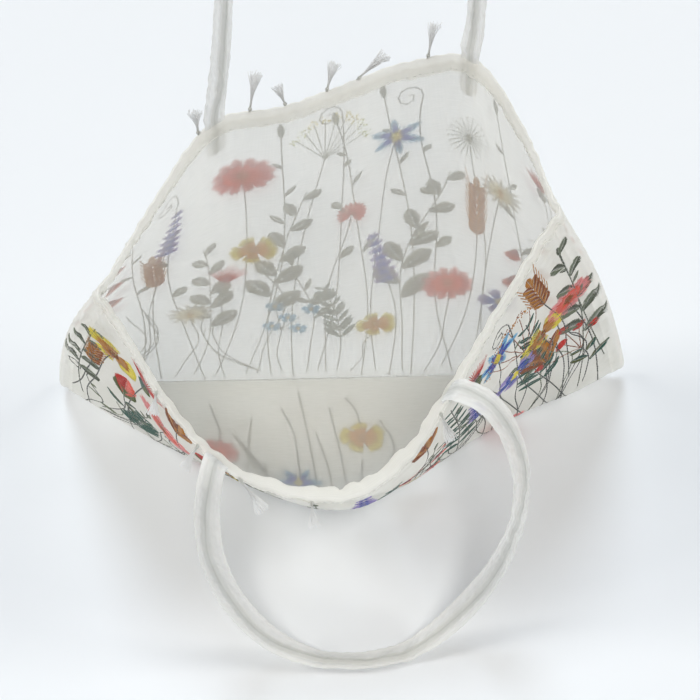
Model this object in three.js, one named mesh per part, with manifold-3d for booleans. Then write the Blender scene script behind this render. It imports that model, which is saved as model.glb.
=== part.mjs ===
// Sheer shoulder tote set down on a table: two organza panels sewn together along the sides and the bottom,
// a plain lining, a folded hem channel, two ribbon handles let into the hem, and thread tassels on its edge.
// Millimetres, +Z up, +Y away from the open front. The origin is on the table under the middle of the base.
import * as THREE from 'three';
import * as BufferGeometryUtils from 'three/addons/utils/BufferGeometryUtils.js';
import Module from 'manifold-3d';

// Driving dimensions
const FLAT_WIDTH = 400; // one end of the bottom seam to the other
const FLAT_HEIGHT = 290; // bottom seam to hem edge along the cloth
const SEAM_Y = 45; // bottom seam, behind the origin
const CLOTH = 1; // one layer of cloth
const LINING_INSET = 3; // outer face of the bag to the outer face of the lining
const HEM_DEPTH = 11; // hem edge to the lower side of the hem channel
const GAP = 0.3; // room between sewn pieces
const EAR_ROLL = 6; // half the thickness of the bag at the ends of the bottom seam
const CORNER_ROLL = 3; // half the thickness where the side seams reach the mouth
const EAR_LIFT = { left: 14, right: 20 }; // ends of the bottom seam above the table
const EAR_LIFT_FROM = 120; // distance from the middle where the seam leaves the table
const EDGE_FROM = 0.9; // share of the way to a side seam where a panel starts to swing to its edge
const SIDE_SWELL = { left: 7, right: 6 }; // side seams bow out, half way up
const SWELL_FROM = 0.5; // share of the way to a side seam where that bow starts
const FOOT_BEND = 26; // length of cloth on each side of the bend where the front leaves the table
const FOOT_BEND_SHARE = 0.8; // and the most of the lying cloth that the bend takes
const HANDLE_ACROSS = 82; // handle middle from the middle of each panel, along the cloth
const HANDLE_WIDTH = 15;
const HANDLE_THICK = 1.2;
const HANDLE_EDGE_THICK = 0.9;
const TAB_DEPTH = 28; // handle end below the hem edge
const TAB_RISE = 3; // straight part of the handle above the hem edge
const TAB_INSET = 2; // outer face of the bag to the middle of the handle end
const HANDLE_LEAD = 2.75; // straight part of the handle to the first point of its free run
const HANDLE_STEPS = 54;
const WALL_ROWS = 13; // from the bottom seam to the lower ends of the handles
const WALL_STATIONS = [25, 50, 108, 128, 148, 168, 184]; // columns of the wall, from its middle to each side
const TINY_AREA = 1e-6; // twice the area of a triangle that has shrunk to a line
const SAME_POINT = 1e-4; // corners closer than this are one

// The hem edge, a row for each station across the cloth: where it stands, and in front how much cloth
// lies on the table between the bottom seam and the bend
const BACK_HEM = [
  { across: -200, x: -134, y: -94, z: 250 },
  { across: -140, x: -106, y: -44, z: 269 },
  { across: -82, x: -73, y: 0, z: 288 },
  { across: -40, x: -34, y: 14, z: 286 },
  { across: 0, x: 1, y: 32, z: 286 },
  { across: 40, x: 36, y: 48, z: 288 },
  { across: 82, x: 77, y: 50, z: 290 },
  { across: 140, x: 103, y: 0, z: 280 },
  { across: 200, x: 117, y: -57, z: 269 },
];
const FRONT_HEM = [
  { across: -200, x: -134, y: -94, z: 250, foot: 0 },
  { across: -140, x: -109, y: -120, z: 201, foot: 40 },
  { across: -82, x: -75, y: -149, z: 166, foot: 74 },
  { across: -40, x: -38, y: -163, z: 153, foot: 90 },
  { across: 0, x: 2, y: -165, z: 151, foot: 96 },
  { across: 40, x: 35, y: -150, z: 169, foot: 87 },
  { across: 82, x: 57, y: -128, z: 197, foot: 58 },
  { across: 140, x: 86, y: -94, z: 233, foot: 24 },
  { across: 200, x: 117, y: -57, z: 269, foot: 0 },
];

// Soft folds that run up the panels: middle and half width along the cloth, height out of the cloth,
// and the part of the wall's height that they take
const FOLDS = [
  { panel: 'back', across: -148, half: 38, out: 12, from: -0.1, to: 1.05 },
  { panel: 'back', across: 150, half: 38, out: 8, from: -0.1, to: 1.05 },
  { panel: 'back', across: -45, half: 26, out: 3, from: 0.3, to: 0.95 },
  { panel: 'back', across: 48, half: 30, out: 4, from: 0.2, to: 0.95 },
  { panel: 'front', across: -160, half: 18, out: -4, from: 0.45, to: 1.1 },
  { panel: 'front', across: -112, half: 24, out: 5, from: 0.4, to: 1.0 },
  { panel: 'front', across: 0, half: 50, out: 6, from: 0.45, to: 1.0 },
  { panel: 'front', across: 118, half: 26, out: 4, from: 0.35, to: 1.0 },
];

// Tassels on the hem edge: stem and tuft lengths, and the way they lean
const TASSELS = [
  { panel: 'back', across: -94, stem: 4, tuft: 10, x: -1, y: 3, z: 10 },
  { panel: 'back', across: -59, stem: 7, tuft: 16, x: 2, y: 4, z: 10 },
  { panel: 'back', across: -38, stem: 3, tuft: 9, x: -4, y: 6, z: 8 },
  { panel: 'back', across: -11, stem: 4, tuft: 13, x: 3, y: 5, z: 9 },
  { panel: 'back', across: 10, stem: 6, tuft: 16, x: 8, y: 3, z: 7 },
  { panel: 'back', across: 55, stem: 7, tuft: 14, x: 2, y: 4, z: 10 },
  { panel: 'front', across: -136, stem: 4, tuft: 8, x: -2, y: -8, z: -6 },
  { panel: 'front', across: -97, stem: 4, tuft: 10, x: -6, y: -8, z: -5 },
  { panel: 'front', across: -66, stem: 10, tuft: 11, x: 8, y: -9, z: -5 },
  { panel: 'front', across: -24, stem: 4, tuft: 9, x: 1, y: -8, z: -7 },
  { panel: 'front', across: 70, stem: 4, tuft: 11, x: 4, y: -8, z: -7 },
];
const TASSEL_STEM_R = 0.8;
const TASSEL_HEAD_R = 1.7;
const TASSEL_LOCK_R = 1.5;
const TASSEL_LOCKS = 4;
const TASSEL_SPREAD = 2.2;
const TASSEL_SIDES = 5;
const TASSEL_HEAD_RINGS = 3;

// Free run of the front handle from left to right, after it comes out of the hem, and how far its flat
// side is turned
const FRONT_HANDLE_ROUTE = [
  { x: -75, y: -159, z: 178, turn: 0 },
  { x: -78, y: -168, z: 170, turn: 0 },
  { x: -81, y: -172, z: 149, turn: 0 },
  { x: -80, y: -177, z: 109, turn: 0 },
  { x: -70, y: -179, z: 63, turn: -20 },
  { x: -48, y: -182, z: 22, turn: -65 },
  { x: -17, y: -186, z: 3, turn: -105 },
  { x: 10, y: -187, z: 0.7, turn: -110 },
  { x: 36, y: -181, z: 3, turn: -105 },
  { x: 67, y: -171, z: 30, turn: -70 },
  { x: 90, y: -165, z: 82, turn: -25 },
  { x: 98, y: -160, z: 138, turn: 0 },
  { x: 92, y: -154, z: 181, turn: 0 },
  { x: 77, y: -145, z: 207, turn: 0 },
  { x: 61, y: -136, z: 211, turn: 0 },
];
// Free run of the back handle from left to right: two upright legs and a round top
const BACK_HANDLE_ROUTE = [
  { x: -69, y: -3, z: 312, turn: 3 },
  { x: -63, y: -3, z: 360, turn: 8 },
  { x: -57, y: 1, z: 415, turn: 20 },
  { x: -46, y: 8, z: 471, turn: 50 },
  { x: -24, y: 17, z: 514, turn: 80 },
  { x: 8, y: 27, z: 529, turn: 90 },
  { x: 41, y: 37, z: 514, turn: 80 },
  { x: 65, y: 46, z: 471, turn: 55 },
  { x: 75, y: 50, z: 415, turn: 28 },
  { x: 77, y: 52, z: 360, turn: 12 },
  { x: 78, y: 51, z: 312, turn: 6 },
];

const vec = (x, y, z) => new THREE.Vector3(x, y, z);
const between = (a, b, share) => a.clone().lerp(b, share);
const clamp01 = (value) => Math.min(1, Math.max(0, value));
const smooth = (low, high, value) => {
  const s = clamp01((value - low) / (high - low));
  return s * s * (3 - 2 * s);
};

// Smooth curve through one column of a table
function along(rows, column, across) {
  const last = rows.length - 1;
  let i = 0;
  while (i < last - 1 && across > rows[i + 1].across) {
    i += 1;
  }
  const slope = (k) => {
    const a = rows[Math.max(0, k - 1)];
    const b = rows[Math.min(last, k + 1)];
    return (b[column] - a[column]) / (b.across - a.across);
  };
  const span = rows[i + 1].across - rows[i].across;
  const s = (across - rows[i].across) / span;
  const rise = rows[i + 1][column] - rows[i][column];
  const bendStart = slope(i) * span - rise;
  const bendEnd = rise - slope(i + 1) * span;
  return rows[i][column] + s * rise + s * (1 - s) * ((1 - s) * bendStart + s * bendEnd);
}

const hemPoint = (rows, across) => vec(...['x', 'y', 'z'].map((column) => along(rows, column, across)));

function seamLift(across) {
  const rise = clamp01((Math.abs(across) - EAR_LIFT_FROM) / (FLAT_WIDTH / 2 - EAR_LIFT_FROM));
  return rise * rise * (across < 0 ? EAR_LIFT.left : EAR_LIFT.right);
}

// Half the thickness of the bag along the side seam, from the ear up to the mouth
const roll = (height) => EAR_ROLL + (CORNER_ROLL - EAR_ROLL) * height;

// Grows from 0 to 1 towards a side seam, from a share of the way to it
const edgeShare = (across, from) => smooth(from, 1, (2 * Math.abs(across)) / FLAT_WIDTH);

// How far the bag swells sideways at its side seams, half way up
function sideSwell(across, height) {
  const share = edgeShare(across, SWELL_FROM) * Math.sin(Math.PI * height);
  return share * (across < 0 ? -SIDE_SWELL.left : SIDE_SWELL.right);
}

function backPoint(across, height) {
  const seam = vec(across, SEAM_Y, seamLift(across));
  const point = between(seam, hemPoint(BACK_HEM, across), height);
  point.x += sideSwell(across, height);
  point.y += edgeShare(across, EDGE_FROM) * roll(height) * height;
  return point;
}

// The front goes along the table to its foot, round a bend, and up to the hem
function frontPath(across) {
  const lift = seamLift(across);
  const start = vec(across, SEAM_Y - 2 * EAR_ROLL, lift);
  const foot = vec(across, start.y - along(FRONT_HEM, 'foot', across), lift);
  const hem = hemPoint(FRONT_HEM, across);
  hem.y -= edgeShare(across, EDGE_FROM) * CORNER_ROLL;
  const bend = Math.min(FOOT_BEND, FOOT_BEND_SHARE * foot.distanceTo(start));
  const enter = foot.clone().addScaledVector(vec(0, 1, 0), bend);
  const leave = foot.clone().addScaledVector(hem.clone().sub(foot).normalize(), bend);
  return [
    new THREE.LineCurve3(start, enter),
    new THREE.QuadraticBezierCurve3(enter, foot, leave),
    new THREE.LineCurve3(leave, hem),
  ];
}

function frontPoint(across, height) {
  const point = frontPathPoint(across, height);
  point.x += sideSwell(across, height);
  return point;
}

function frontPathPoint(across, height) {
  const [floor, bend, wall] = frontPath(across);
  const lengths = [floor.getLength(), bend.getLength(), wall.getLength()];
  let run = height * (lengths[0] + lengths[1] + lengths[2]);
  if (run <= lengths[0] && lengths[0] > 0) {
    return floor.getPoint(run / lengths[0]);
  }
  run -= lengths[0];
  if (run < lengths[1]) {
    return bend.getPointAt(run / lengths[1]);
  }
  return wall.getPoint((run - lengths[1]) / lengths[2]);
}

// Columns of the wall, closer at the handles and at the side seams
function stations() {
  const half = FLAT_WIDTH / 2;
  const handle = [-1, 0, 1].map((side) => HANDLE_ACROSS + (side * HANDLE_WIDTH) / 2);
  const right = [...WALL_STATIONS, ...handle, half - EAR_ROLL / 2].sort((a, b) => a - b);
  return [...right.map((across) => -across).reverse(), 0, ...right];
}

const STATIONS = stations();
const TAB_LEVEL = 1 - TAB_DEPTH / FLAT_HEIGHT;
const HEM_LEVEL = 1 - HEM_DEPTH / FLAT_HEIGHT;
const LOWER_LEVELS = [...Array(WALL_ROWS).keys()].map((row) => (TAB_LEVEL * row) / (WALL_ROWS - 1));
const LEVELS = [...LOWER_LEVELS, HEM_LEVEL, 1];

// Skin of the bag as a closed loop of columns: back from left to right, right seam, front from right to
// left, left seam
function skinColumns() {
  const back = STATIONS.map((across) => LEVELS.map((height) => backPoint(across, height)));
  const front = STATIONS.map((across) => LEVELS.map((height) => frontPoint(across, height)));
  const seam = (side) => {
    const at = side < 0 ? 0 : STATIONS.length - 1;
    return LEVELS.map((height, row) => {
      const middle = between(back[at][row], front[at][row], 0.5);
      return middle.addScaledVector(vec(side, 0, 0), roll(height));
    });
  };
  return [...back, seam(1), ...front.slice().reverse(), seam(-1)];
}

const BACK_COUNT = STATIONS.length;
const LOOP = 2 * BACK_COUNT + 2;
const RIGHT_SEAM = BACK_COUNT;
const LEFT_SEAM = LOOP - 1;
const mirrorColumn = (column) => LOOP - 2 - column;

// Faces of the skin: the walls round the loop, and the strip under the bottom seam
function skinFaces() {
  const faces = [];
  for (let c = 0; c < LOOP; c += 1) {
    const next = (c + 1) % LOOP;
    for (let r = 0; r < LEVELS.length - 1; r += 1) {
      faces.push([[c, r], [c, r + 1], [next, r + 1], [next, r]]);
    }
  }
  for (let c = 0; c < BACK_COUNT - 1; c += 1) {
    faces.push([[c, 0], [c + 1, 0], [mirrorColumn(c + 1), 0], [mirrorColumn(c), 0]]);
  }
  faces.push([[BACK_COUNT - 1, 0], [RIGHT_SEAM, 0], [RIGHT_SEAM + 1, 0]]);
  faces.push([[LEFT_SEAM, 0], [0, 0], [LEFT_SEAM - 1, 0]]);
  return faces;
}

function skinNormals(columns) {
  const normals = columns.map((column) => column.map(() => vec(0, 0, 0)));
  for (const face of skinFaces()) {
    const corners = face.map(([c, r]) => columns[c][r]);
    const across = corners[2].clone().sub(corners[0]);
    const other = corners[corners.length - 1].clone().sub(corners[1]);
    const normal = across.cross(other).normalize();
    face.forEach(([c, r]) => normals[c][r].add(normal));
  }
  normals.forEach((column) => column.forEach((normal) => normal.normalize()));
  return normals;
}

function foldHeight(panel, across, height) {
  let out = 0;
  for (const fold of FOLDS.filter((row) => row.panel === panel)) {
    const side = (across - fold.across) / fold.half;
    const up = clamp01((height - fold.from) / (fold.to - fold.from));
    out += fold.out * Math.exp(-side * side) * Math.sin(Math.PI * up) ** 2;
  }
  return out;
}

// The skin with its folds, flat where it lies on the table
function foldedSkin() {
  const columns = skinColumns();
  const normals = skinNormals(columns);
  for (let c = 0; c < BACK_COUNT; c += 1) {
    LEVELS.forEach((height, r) => {
      columns[c][r].addScaledVector(normals[c][r], foldHeight('back', STATIONS[c], height));
      const m = mirrorColumn(c);
      columns[m][r].addScaledVector(normals[m][r], foldHeight('front', STATIONS[c], height));
    });
  }
  columns.flat().forEach((point) => point.setZ(Math.max(0, point.z)));
  return columns;
}

const SKIN = foldedSkin();
const SKIN_NORMALS = skinNormals(SKIN);
const inset = (c, r, depth) => SKIN[c][r].clone().addScaledVector(SKIN_NORMALS[c][r], -depth);

// Triangles of a closed solid; faces that have shrunk to a line are left out
class Solid {
  constructor() {
    this.positions = [];
  }

  triangle(a, b, c) {
    const area = b.clone().sub(a).cross(c.clone().sub(a)).length();
    if (area > TINY_AREA) {
      [a, b, c].forEach((p) => this.positions.push(p.x, p.y, p.z));
    }
  }

  quad(a, b, c, d) {
    this.triangle(a, b, c);
    this.triangle(a, c, d);
  }

  // Six times the volume inside, below zero where the faces point inwards
  volume() {
    let sum = 0;
    for (let i = 0; i < this.positions.length; i += 9) {
      const [a, b, c] = [0, 3, 6].map((k) => new THREE.Vector3().fromArray(this.positions, i + k));
      sum += a.dot(b.cross(c));
    }
    return sum;
  }

  turnOver() {
    for (let i = 0; i < this.positions.length; i += 9) {
      const second = this.positions.slice(i + 3, i + 6);
      this.positions.splice(i + 3, 6, ...this.positions.slice(i + 6, i + 9), ...second);
    }
  }

  geometry() {
    if (this.volume() < 0) {
      this.turnOver();
    }
    const raw = new THREE.BufferGeometry();
    raw.setAttribute('position', new THREE.Float32BufferAttribute(this.positions, 3));
    return BufferGeometryUtils.mergeVertices(raw, SAME_POINT);
  }
}

// A wall between two faces that are grids of columns; ends of the grid are closed along its edges
function wallSolid(outer, inner) {
  const solid = new Solid();
  const lastC = outer.length - 1;
  const lastR = outer[0].length - 1;
  for (let c = 0; c < lastC; c += 1) {
    for (let r = 0; r < lastR; r += 1) {
      solid.quad(outer[c][r], outer[c][r + 1], outer[c + 1][r + 1], outer[c + 1][r]);
      solid.quad(inner[c][r], inner[c + 1][r], inner[c + 1][r + 1], inner[c][r + 1]);
    }
    solid.quad(outer[c][0], outer[c + 1][0], inner[c + 1][0], inner[c][0]);
    solid.quad(outer[c][lastR], inner[c][lastR], inner[c + 1][lastR], outer[c + 1][lastR]);
  }
  for (let r = 0; r < lastR; r += 1) {
    solid.quad(outer[0][r], inner[0][r], inner[0][r + 1], outer[0][r + 1]);
    solid.quad(outer[lastC][r], outer[lastC][r + 1], inner[lastC][r + 1], inner[lastC][r]);
  }
  return solid.geometry();
}

// Moves the ends of a row of points inwards by half the sewing gap
function openEnds(columns) {
  const pull = (edge, beside) =>
    edge.map((point, r) => {
      const way = beside[r].clone().sub(point).normalize();
      return point.clone().addScaledVector(way, GAP / 2);
    });
  const last = columns.length - 1;
  return columns.map((column, c) => {
    if (c === 0) {
      return pull(column, columns[1]);
    }
    return c === last ? pull(column, columns[last - 1]) : column;
  });
}

const WALL_TOP = LEVELS.length - 2;
const rowsTo = (column, top, depth) => [...Array(top + 1).keys()].map((r) => inset(column, r, depth));
const trimTop = (points) => {
  const last = points.length - 1;
  const down = points[last - 1].clone().sub(points[last]).normalize();
  return points.map((point, r) => (r === last ? point.clone().addScaledVector(down, GAP) : point));
};
const raiseFoot = (points) => {
  const up = points[1].clone().sub(points[0]).normalize();
  return points.map((point, r) => (r === 0 ? point.clone().addScaledVector(up, GAP) : point));
};

function backPanel() {
  const order = [LEFT_SEAM, ...Array(BACK_COUNT).keys(), RIGHT_SEAM];
  const face = (depth) => openEnds(order.map((c) => raiseFoot(trimTop(rowsTo(c, WALL_TOP, depth)))));
  return wallSolid(face(0), face(CLOTH));
}

// The front starts at the back of the strip under the bottom seam
function frontPanel() {
  const order = [...Array(BACK_COUNT + 2).keys()].map((i) => RIGHT_SEAM + i);
  const strip = (c, depth) => {
    const edge = c === RIGHT_SEAM || c === LEFT_SEAM;
    return inset(edge ? c : mirrorColumn(c), 0, depth);
  };
  const column = (c, depth) => [strip(c, depth), ...trimTop(rowsTo(c, WALL_TOP, depth))];
  const face = (depth) => openEnds(order.map((c) => column(c, depth)));
  return wallSolid(face(0), face(CLOTH));
}

// The lining is a bag of its own with an open mouth
function lining() {
  const solid = new Solid();
  const shell = (depth) => SKIN.map((column, c) => trimTop(rowsTo(c, WALL_TOP, depth)));
  const outer = shell(LINING_INSET);
  const inner = shell(LINING_INSET + CLOTH);
  for (const face of skinFaces()) {
    if (face.some(([, r]) => r > WALL_TOP)) {
      continue;
    }
    const out = face.map(([c, r]) => outer[c][r]);
    const back = face.map(([c, r]) => inner[c][r]).reverse();
    for (const points of [out, back]) {
      if (points.length === 4) {
        solid.quad(...points);
      } else {
        solid.triangle(...points);
      }
    }
  }
  for (let c = 0; c < LOOP; c += 1) {
    const next = (c + 1) % LOOP;
    solid.quad(outer[c][WALL_TOP], inner[c][WALL_TOP], inner[next][WALL_TOP], outer[next][WALL_TOP]);
  }
  return solid.geometry();
}

// Rings of points joined round a closed loop, or along an open run with flat ends
function joinRings(rings, closed) {
  const solid = new Solid();
  const count = rings[0].length;
  const steps = closed ? rings.length : rings.length - 1;
  for (let i = 0; i < steps; i += 1) {
    const next = rings[(i + 1) % rings.length];
    for (let k = 0; k < count; k += 1) {
      const m = (k + 1) % count;
      solid.quad(rings[i][k], rings[i][m], next[m], next[k]);
    }
  }
  if (!closed) {
    const first = rings[0];
    const last = rings[rings.length - 1];
    for (let k = 0; k < count / 2 - 1; k += 1) {
      const [far, beyond] = [count - 1 - k, count - 2 - k];
      solid.quad(first[k], first[far], first[beyond], first[k + 1]);
      solid.quad(last[k], last[k + 1], last[beyond], last[far]);
    }
  }
  return solid.geometry();
}

const wasm = await Module();
wasm.setup();

function toManifold(geometry) {
  const mesh = new wasm.Mesh({
    numProp: 3,
    vertProperties: new Float32Array(geometry.attributes.position.array),
    triVerts: new Uint32Array(geometry.index.array),
  });
  return new wasm.Manifold(mesh);
}

function fromManifold(solid) {
  const mesh = solid.getMesh();
  const geometry = new THREE.BufferGeometry();
  geometry.setAttribute('position', new THREE.BufferAttribute(mesh.vertProperties, 3));
  geometry.setIndex(new THREE.BufferAttribute(mesh.triVerts, 1));
  return geometry;
}

// A point of the top of the wall, by its distance below the hem edge
function topPoint(column, below, depth) {
  const edge = inset(column, WALL_TOP + 1, depth);
  const under = inset(column, WALL_TOP, depth);
  if (below <= HEM_DEPTH) {
    return edge.addScaledVector(under.sub(edge), below / HEM_DEPTH);
  }
  const lower = inset(column, WALL_TOP - 1, depth);
  return between(under, lower, (below - HEM_DEPTH) / (TAB_DEPTH - HEM_DEPTH));
}

// A point of the hem edge between two columns
function hemEdge(panel, across) {
  const c = STATIONS.findIndex((station) => station > across) - 1;
  const share = (across - STATIONS[c]) / (STATIONS[c + 1] - STATIONS[c]);
  const [a, b] = [c, c + 1].map((i) => topPoint(panel === 'back' ? i : mirrorColumn(i), 0, 0));
  return between(a, b, share);
}

const handleColumn = (panel, side) => {
  const column = STATIONS.indexOf(side * HANDLE_ACROSS);
  return panel === 'back' ? column : mirrorColumn(column);
};

// Six corners of the flat handle: its two edges and its thicker middle
function ribbonRing(left, middle, right, face, grow = 0) {
  const edge = HANDLE_EDGE_THICK / 2 + grow;
  const core = HANDLE_THICK / 2 + grow;
  const out = right.clone().sub(left).normalize().multiplyScalar(grow);
  const move = (point, depth, side) => point.clone().addScaledVector(face, depth).addScaledVector(out, side);
  return [
    move(left, -edge, -1),
    move(middle, -core, 0),
    move(right, -edge, 1),
    move(right, edge, 1),
    move(middle, core, 0),
    move(left, edge, -1),
  ];
}

// Section of a handle where it lies between the outer panel and the lining
function tabRing(column, below, way, grow = 0) {
  const columns = [column - way, column, column + way];
  const [left, middle, right] = columns.map((c) => topPoint(c, below, TAB_INSET));
  return ribbonRing(left, middle, right, SKIN_NORMALS[column][WALL_TOP], grow);
}

// The hem channel: two legs and a top web, open below, with a slot for each handle end
function hemBand() {
  const inner = LINING_INSET + CLOTH;
  const rings = SKIN.map((column, c) => [
    topPoint(c, HEM_DEPTH, 0),
    topPoint(c, HEM_DEPTH, CLOTH),
    topPoint(c, CLOTH, CLOTH),
    topPoint(c, CLOTH, LINING_INSET),
    topPoint(c, HEM_DEPTH, LINING_INSET),
    topPoint(c, HEM_DEPTH, inner),
    topPoint(c, 0, inner),
    topPoint(c, 0, 0),
  ]);
  let band = toManifold(joinRings(rings, true));
  for (const panel of ['back', 'front']) {
    for (const side of [-1, 1]) {
      const column = handleColumn(panel, side);
      const slot = [HEM_DEPTH / 2, -HEM_DEPTH / 2].map((below) => tabRing(column, below, 1, GAP));
      band = band.subtract(toManifold(joinRings(slot, false)));
    }
  }
  return fromManifold(band);
}

// The turn of a ribbon along its run, from the table's column
function turnAt(route, share) {
  const place = share * (route.length + 1) - 1;
  const low = Math.min(route.length - 1, Math.max(0, Math.floor(place)));
  const high = Math.min(route.length - 1, low + 1);
  const turn = route[low].turn + (route[high].turn - route[low].turn) * smooth(0, 1, place - low);
  const held = smooth(-1, 0, place) * smooth(route.length, route.length - 1, place);
  return THREE.MathUtils.degToRad(turn * held);
}

// Face of the ribbon at each step: carried along the run without twist, plus the table's turn, plus the
// little twist that brings it on to the face of the right hem
function ribbonFaces(tangents, route, firstFace, lastFace) {
  const faces = [firstFace.clone()];
  for (let i = 1; i < tangents.length; i += 1) {
    const step = new THREE.Quaternion().setFromUnitVectors(tangents[i - 1], tangents[i]);
    faces.push(faces[i - 1].clone().applyQuaternion(step));
  }
  const end = tangents.length - 1;
  const cross = faces[end].clone().cross(lastFace).dot(tangents[end]);
  const rest = Math.atan2(cross, faces[end].dot(lastFace));
  return faces.map((face, i) => {
    const share = i / end;
    const angle = rest * smooth(0, 1, share) + turnAt(route, share);
    const turned = face.applyAxisAngle(tangents[i], angle);
    return turned.addScaledVector(tangents[i], -turned.dot(tangents[i])).normalize();
  });
}

// A section that would sink into the table lies on it
function onTable(ring) {
  const lift = Math.max(0, ...ring.map((point) => -point.z));
  return ring.map((point) => point.setZ(point.z + lift));
}

// A handle: a flat end in the left hem, the free run, and a flat end in the right hem
function handle(panel, route) {
  const tabLevels = [TAB_DEPTH, HEM_DEPTH, 0, -TAB_RISE];
  const [start, end] = [-1, 1].map((side) => handleColumn(panel, side));
  const exits = [start, end].map((column) => topPoint(column, -TAB_RISE - HANDLE_LEAD, TAB_INSET));
  const points = [exits[0], ...route.map((row) => vec(row.x, row.y, row.z)), exits[1]];
  const curve = new THREE.CatmullRomCurve3(points, false, 'centripetal');
  const shares = [...Array(HANDLE_STEPS + 1).keys()].map((i) => i / HANDLE_STEPS);
  const centres = shares.map((share) => curve.getPoint(share));
  const tangents = shares.map((share) => curve.getTangent(share));
  const faces = ribbonFaces(tangents, route, SKIN_NORMALS[start][WALL_TOP], SKIN_NORMALS[end][WALL_TOP]);
  const free = centres.map((centre, i) => {
    const width = faces[i].clone().cross(tangents[i]).setLength(HANDLE_WIDTH / 2);
    return onTable(ribbonRing(centre.clone().sub(width), centre, centre.clone().add(width), faces[i]));
  });
  const left = tabLevels.map((below) => tabRing(start, below, 1));
  const right = tabLevels.map((below) => tabRing(end, below, -1)).reverse();
  return joinRings([...left, ...free, ...right], false);
}

// A tassel: a thread stem, a wound head and a spread of locks, joined into one body
function tassel(row) {
  const way = vec(row.x, row.y, row.z).normalize();
  const foot = hemEdge(row.panel, row.across).addScaledVector(way, GAP + TASSEL_STEM_R);
  const turn = new THREE.Quaternion().setFromUnitVectors(vec(0, 1, 0), way);
  const place = (geometry, shift) => {
    geometry.deleteAttribute('normal');
    geometry.deleteAttribute('uv');
    geometry.applyMatrix4(shift);
    geometry.applyQuaternion(turn);
    geometry.translate(foot.x, foot.y, foot.z);
    return toManifold(BufferGeometryUtils.mergeVertices(geometry, SAME_POINT));
  };
  const up = (height) => new THREE.Matrix4().makeTranslation(0, height, 0);
  const stem = new THREE.CylinderGeometry(TASSEL_STEM_R, TASSEL_STEM_R, row.stem, TASSEL_SIDES);
  let body = place(stem, up(row.stem / 2));
  const head = new THREE.SphereGeometry(TASSEL_HEAD_R, TASSEL_SIDES, TASSEL_HEAD_RINGS);
  body = body.add(place(head, up(row.stem)));
  for (let i = 0; i < TASSEL_LOCKS; i += 1) {
    const lock = new THREE.CylinderGeometry(TASSEL_LOCK_R, TASSEL_LOCK_R / 2, row.tuft, TASSEL_SIDES);
    const lean = new THREE.Matrix4().makeRotationZ(-Math.atan2(TASSEL_SPREAD, row.tuft));
    const round = new THREE.Matrix4().makeRotationY((2 * Math.PI * i) / TASSEL_LOCKS);
    const shift = up(row.stem).multiply(round).multiply(lean).multiply(up(row.tuft / 2));
    body = body.add(place(lock, shift));
  }
  return fromManifold(body);
}

const material = (color, roughness) => new THREE.MeshStandardMaterial({ color, roughness, metalness: 0 });
const organza = material(0xf1f1ef, 0.55);
const liningCloth = material(0xf8f8f7, 0.6);
const ribbon = material(0xf4f4f2, 0.5);
const thread = material(0xfafaf8, 0.8);

const bag = new THREE.Group();
function piece(name, geometry, look) {
  geometry.computeVertexNormals();
  const mesh = new THREE.Mesh(geometry, look);
  mesh.name = name;
  bag.add(mesh);
}

piece('back_panel', backPanel(), organza);
piece('front_panel', frontPanel(), organza);
piece('lining', lining(), liningCloth);
piece('hem_band', hemBand(), ribbon);
piece('handle_back', handle('back', BACK_HANDLE_ROUTE), ribbon);
piece('handle_front', handle('front', FRONT_HANDLE_ROUTE), ribbon);
for (const panel of ['back', 'front']) {
  TASSELS.filter((row) => row.panel === panel).forEach((row, i) => {
    piece(`tassel_${panel}_${i + 1}`, tassel(row), thread);
  });
}

export default bag;
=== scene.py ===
# Sheer embroidered shoulder bag set down on a table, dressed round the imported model, in metres
import math

import bpy
import numpy as np
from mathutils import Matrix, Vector


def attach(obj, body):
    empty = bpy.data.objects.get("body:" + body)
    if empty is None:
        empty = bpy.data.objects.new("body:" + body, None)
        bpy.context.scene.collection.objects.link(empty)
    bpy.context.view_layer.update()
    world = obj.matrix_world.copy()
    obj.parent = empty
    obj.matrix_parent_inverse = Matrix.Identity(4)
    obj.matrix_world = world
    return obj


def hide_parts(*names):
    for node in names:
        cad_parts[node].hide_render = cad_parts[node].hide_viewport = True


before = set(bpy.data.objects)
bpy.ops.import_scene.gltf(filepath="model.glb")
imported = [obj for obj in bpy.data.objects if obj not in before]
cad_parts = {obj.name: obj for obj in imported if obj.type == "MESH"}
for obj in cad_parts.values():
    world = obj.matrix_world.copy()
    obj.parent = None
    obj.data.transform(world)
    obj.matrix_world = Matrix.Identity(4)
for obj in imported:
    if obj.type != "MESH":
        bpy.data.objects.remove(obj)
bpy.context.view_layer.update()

# Outer panels
# Two sheets of sheer white organza, each cut 400 by 290 mm and sewn together along the bottom and sides.
# The back one stands up from the bottom seam; the front one lies on the table, then rises and leans out.
FLAT_WIDTH = 0.400
FLAT_HEIGHT = 0.290
SEAM_Y = 0.045  # the bottom seam, behind the origin
EAR_ROLL = 0.006  # half the thickness of the bag at the ends of the bottom seam
CORNER_ROLL = 0.003  # half the thickness where the side seams reach the mouth
ROLL_FROM = 0.9  # of half the width, where the cloth starts to turn round the side
EAR_LIFT = (0.014, 0.020)  # left and right ends of the bottom seam above the table
EAR_LIFT_FROM = 0.120  # distance from the middle where the seam leaves the table
SIDE_SWELL = (-0.007, 0.006)  # left and right side seams, half way up
SWELL_FROM = 0.5  # of half the width
FOOT_BEND = 0.026  # cloth on each side of the bend where the front leaves the table
FOOT_BEND_SHARE = 0.8  # and the most of the lying cloth that the bend takes
TABLE_GAP = 0.0006
PANEL_TOP = 0.004  # panels and lining end this far below the hem edge, inside the hem
COLUMNS = 161
ROWS = 121
ROLL_STEPS = 5
BEND_STEPS = 13
DENTS = 46  # on each panel
DENT_ACROSS = 0.19  # the farthest from the middle
DENT_UP = (0.02, 0.26)
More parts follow.
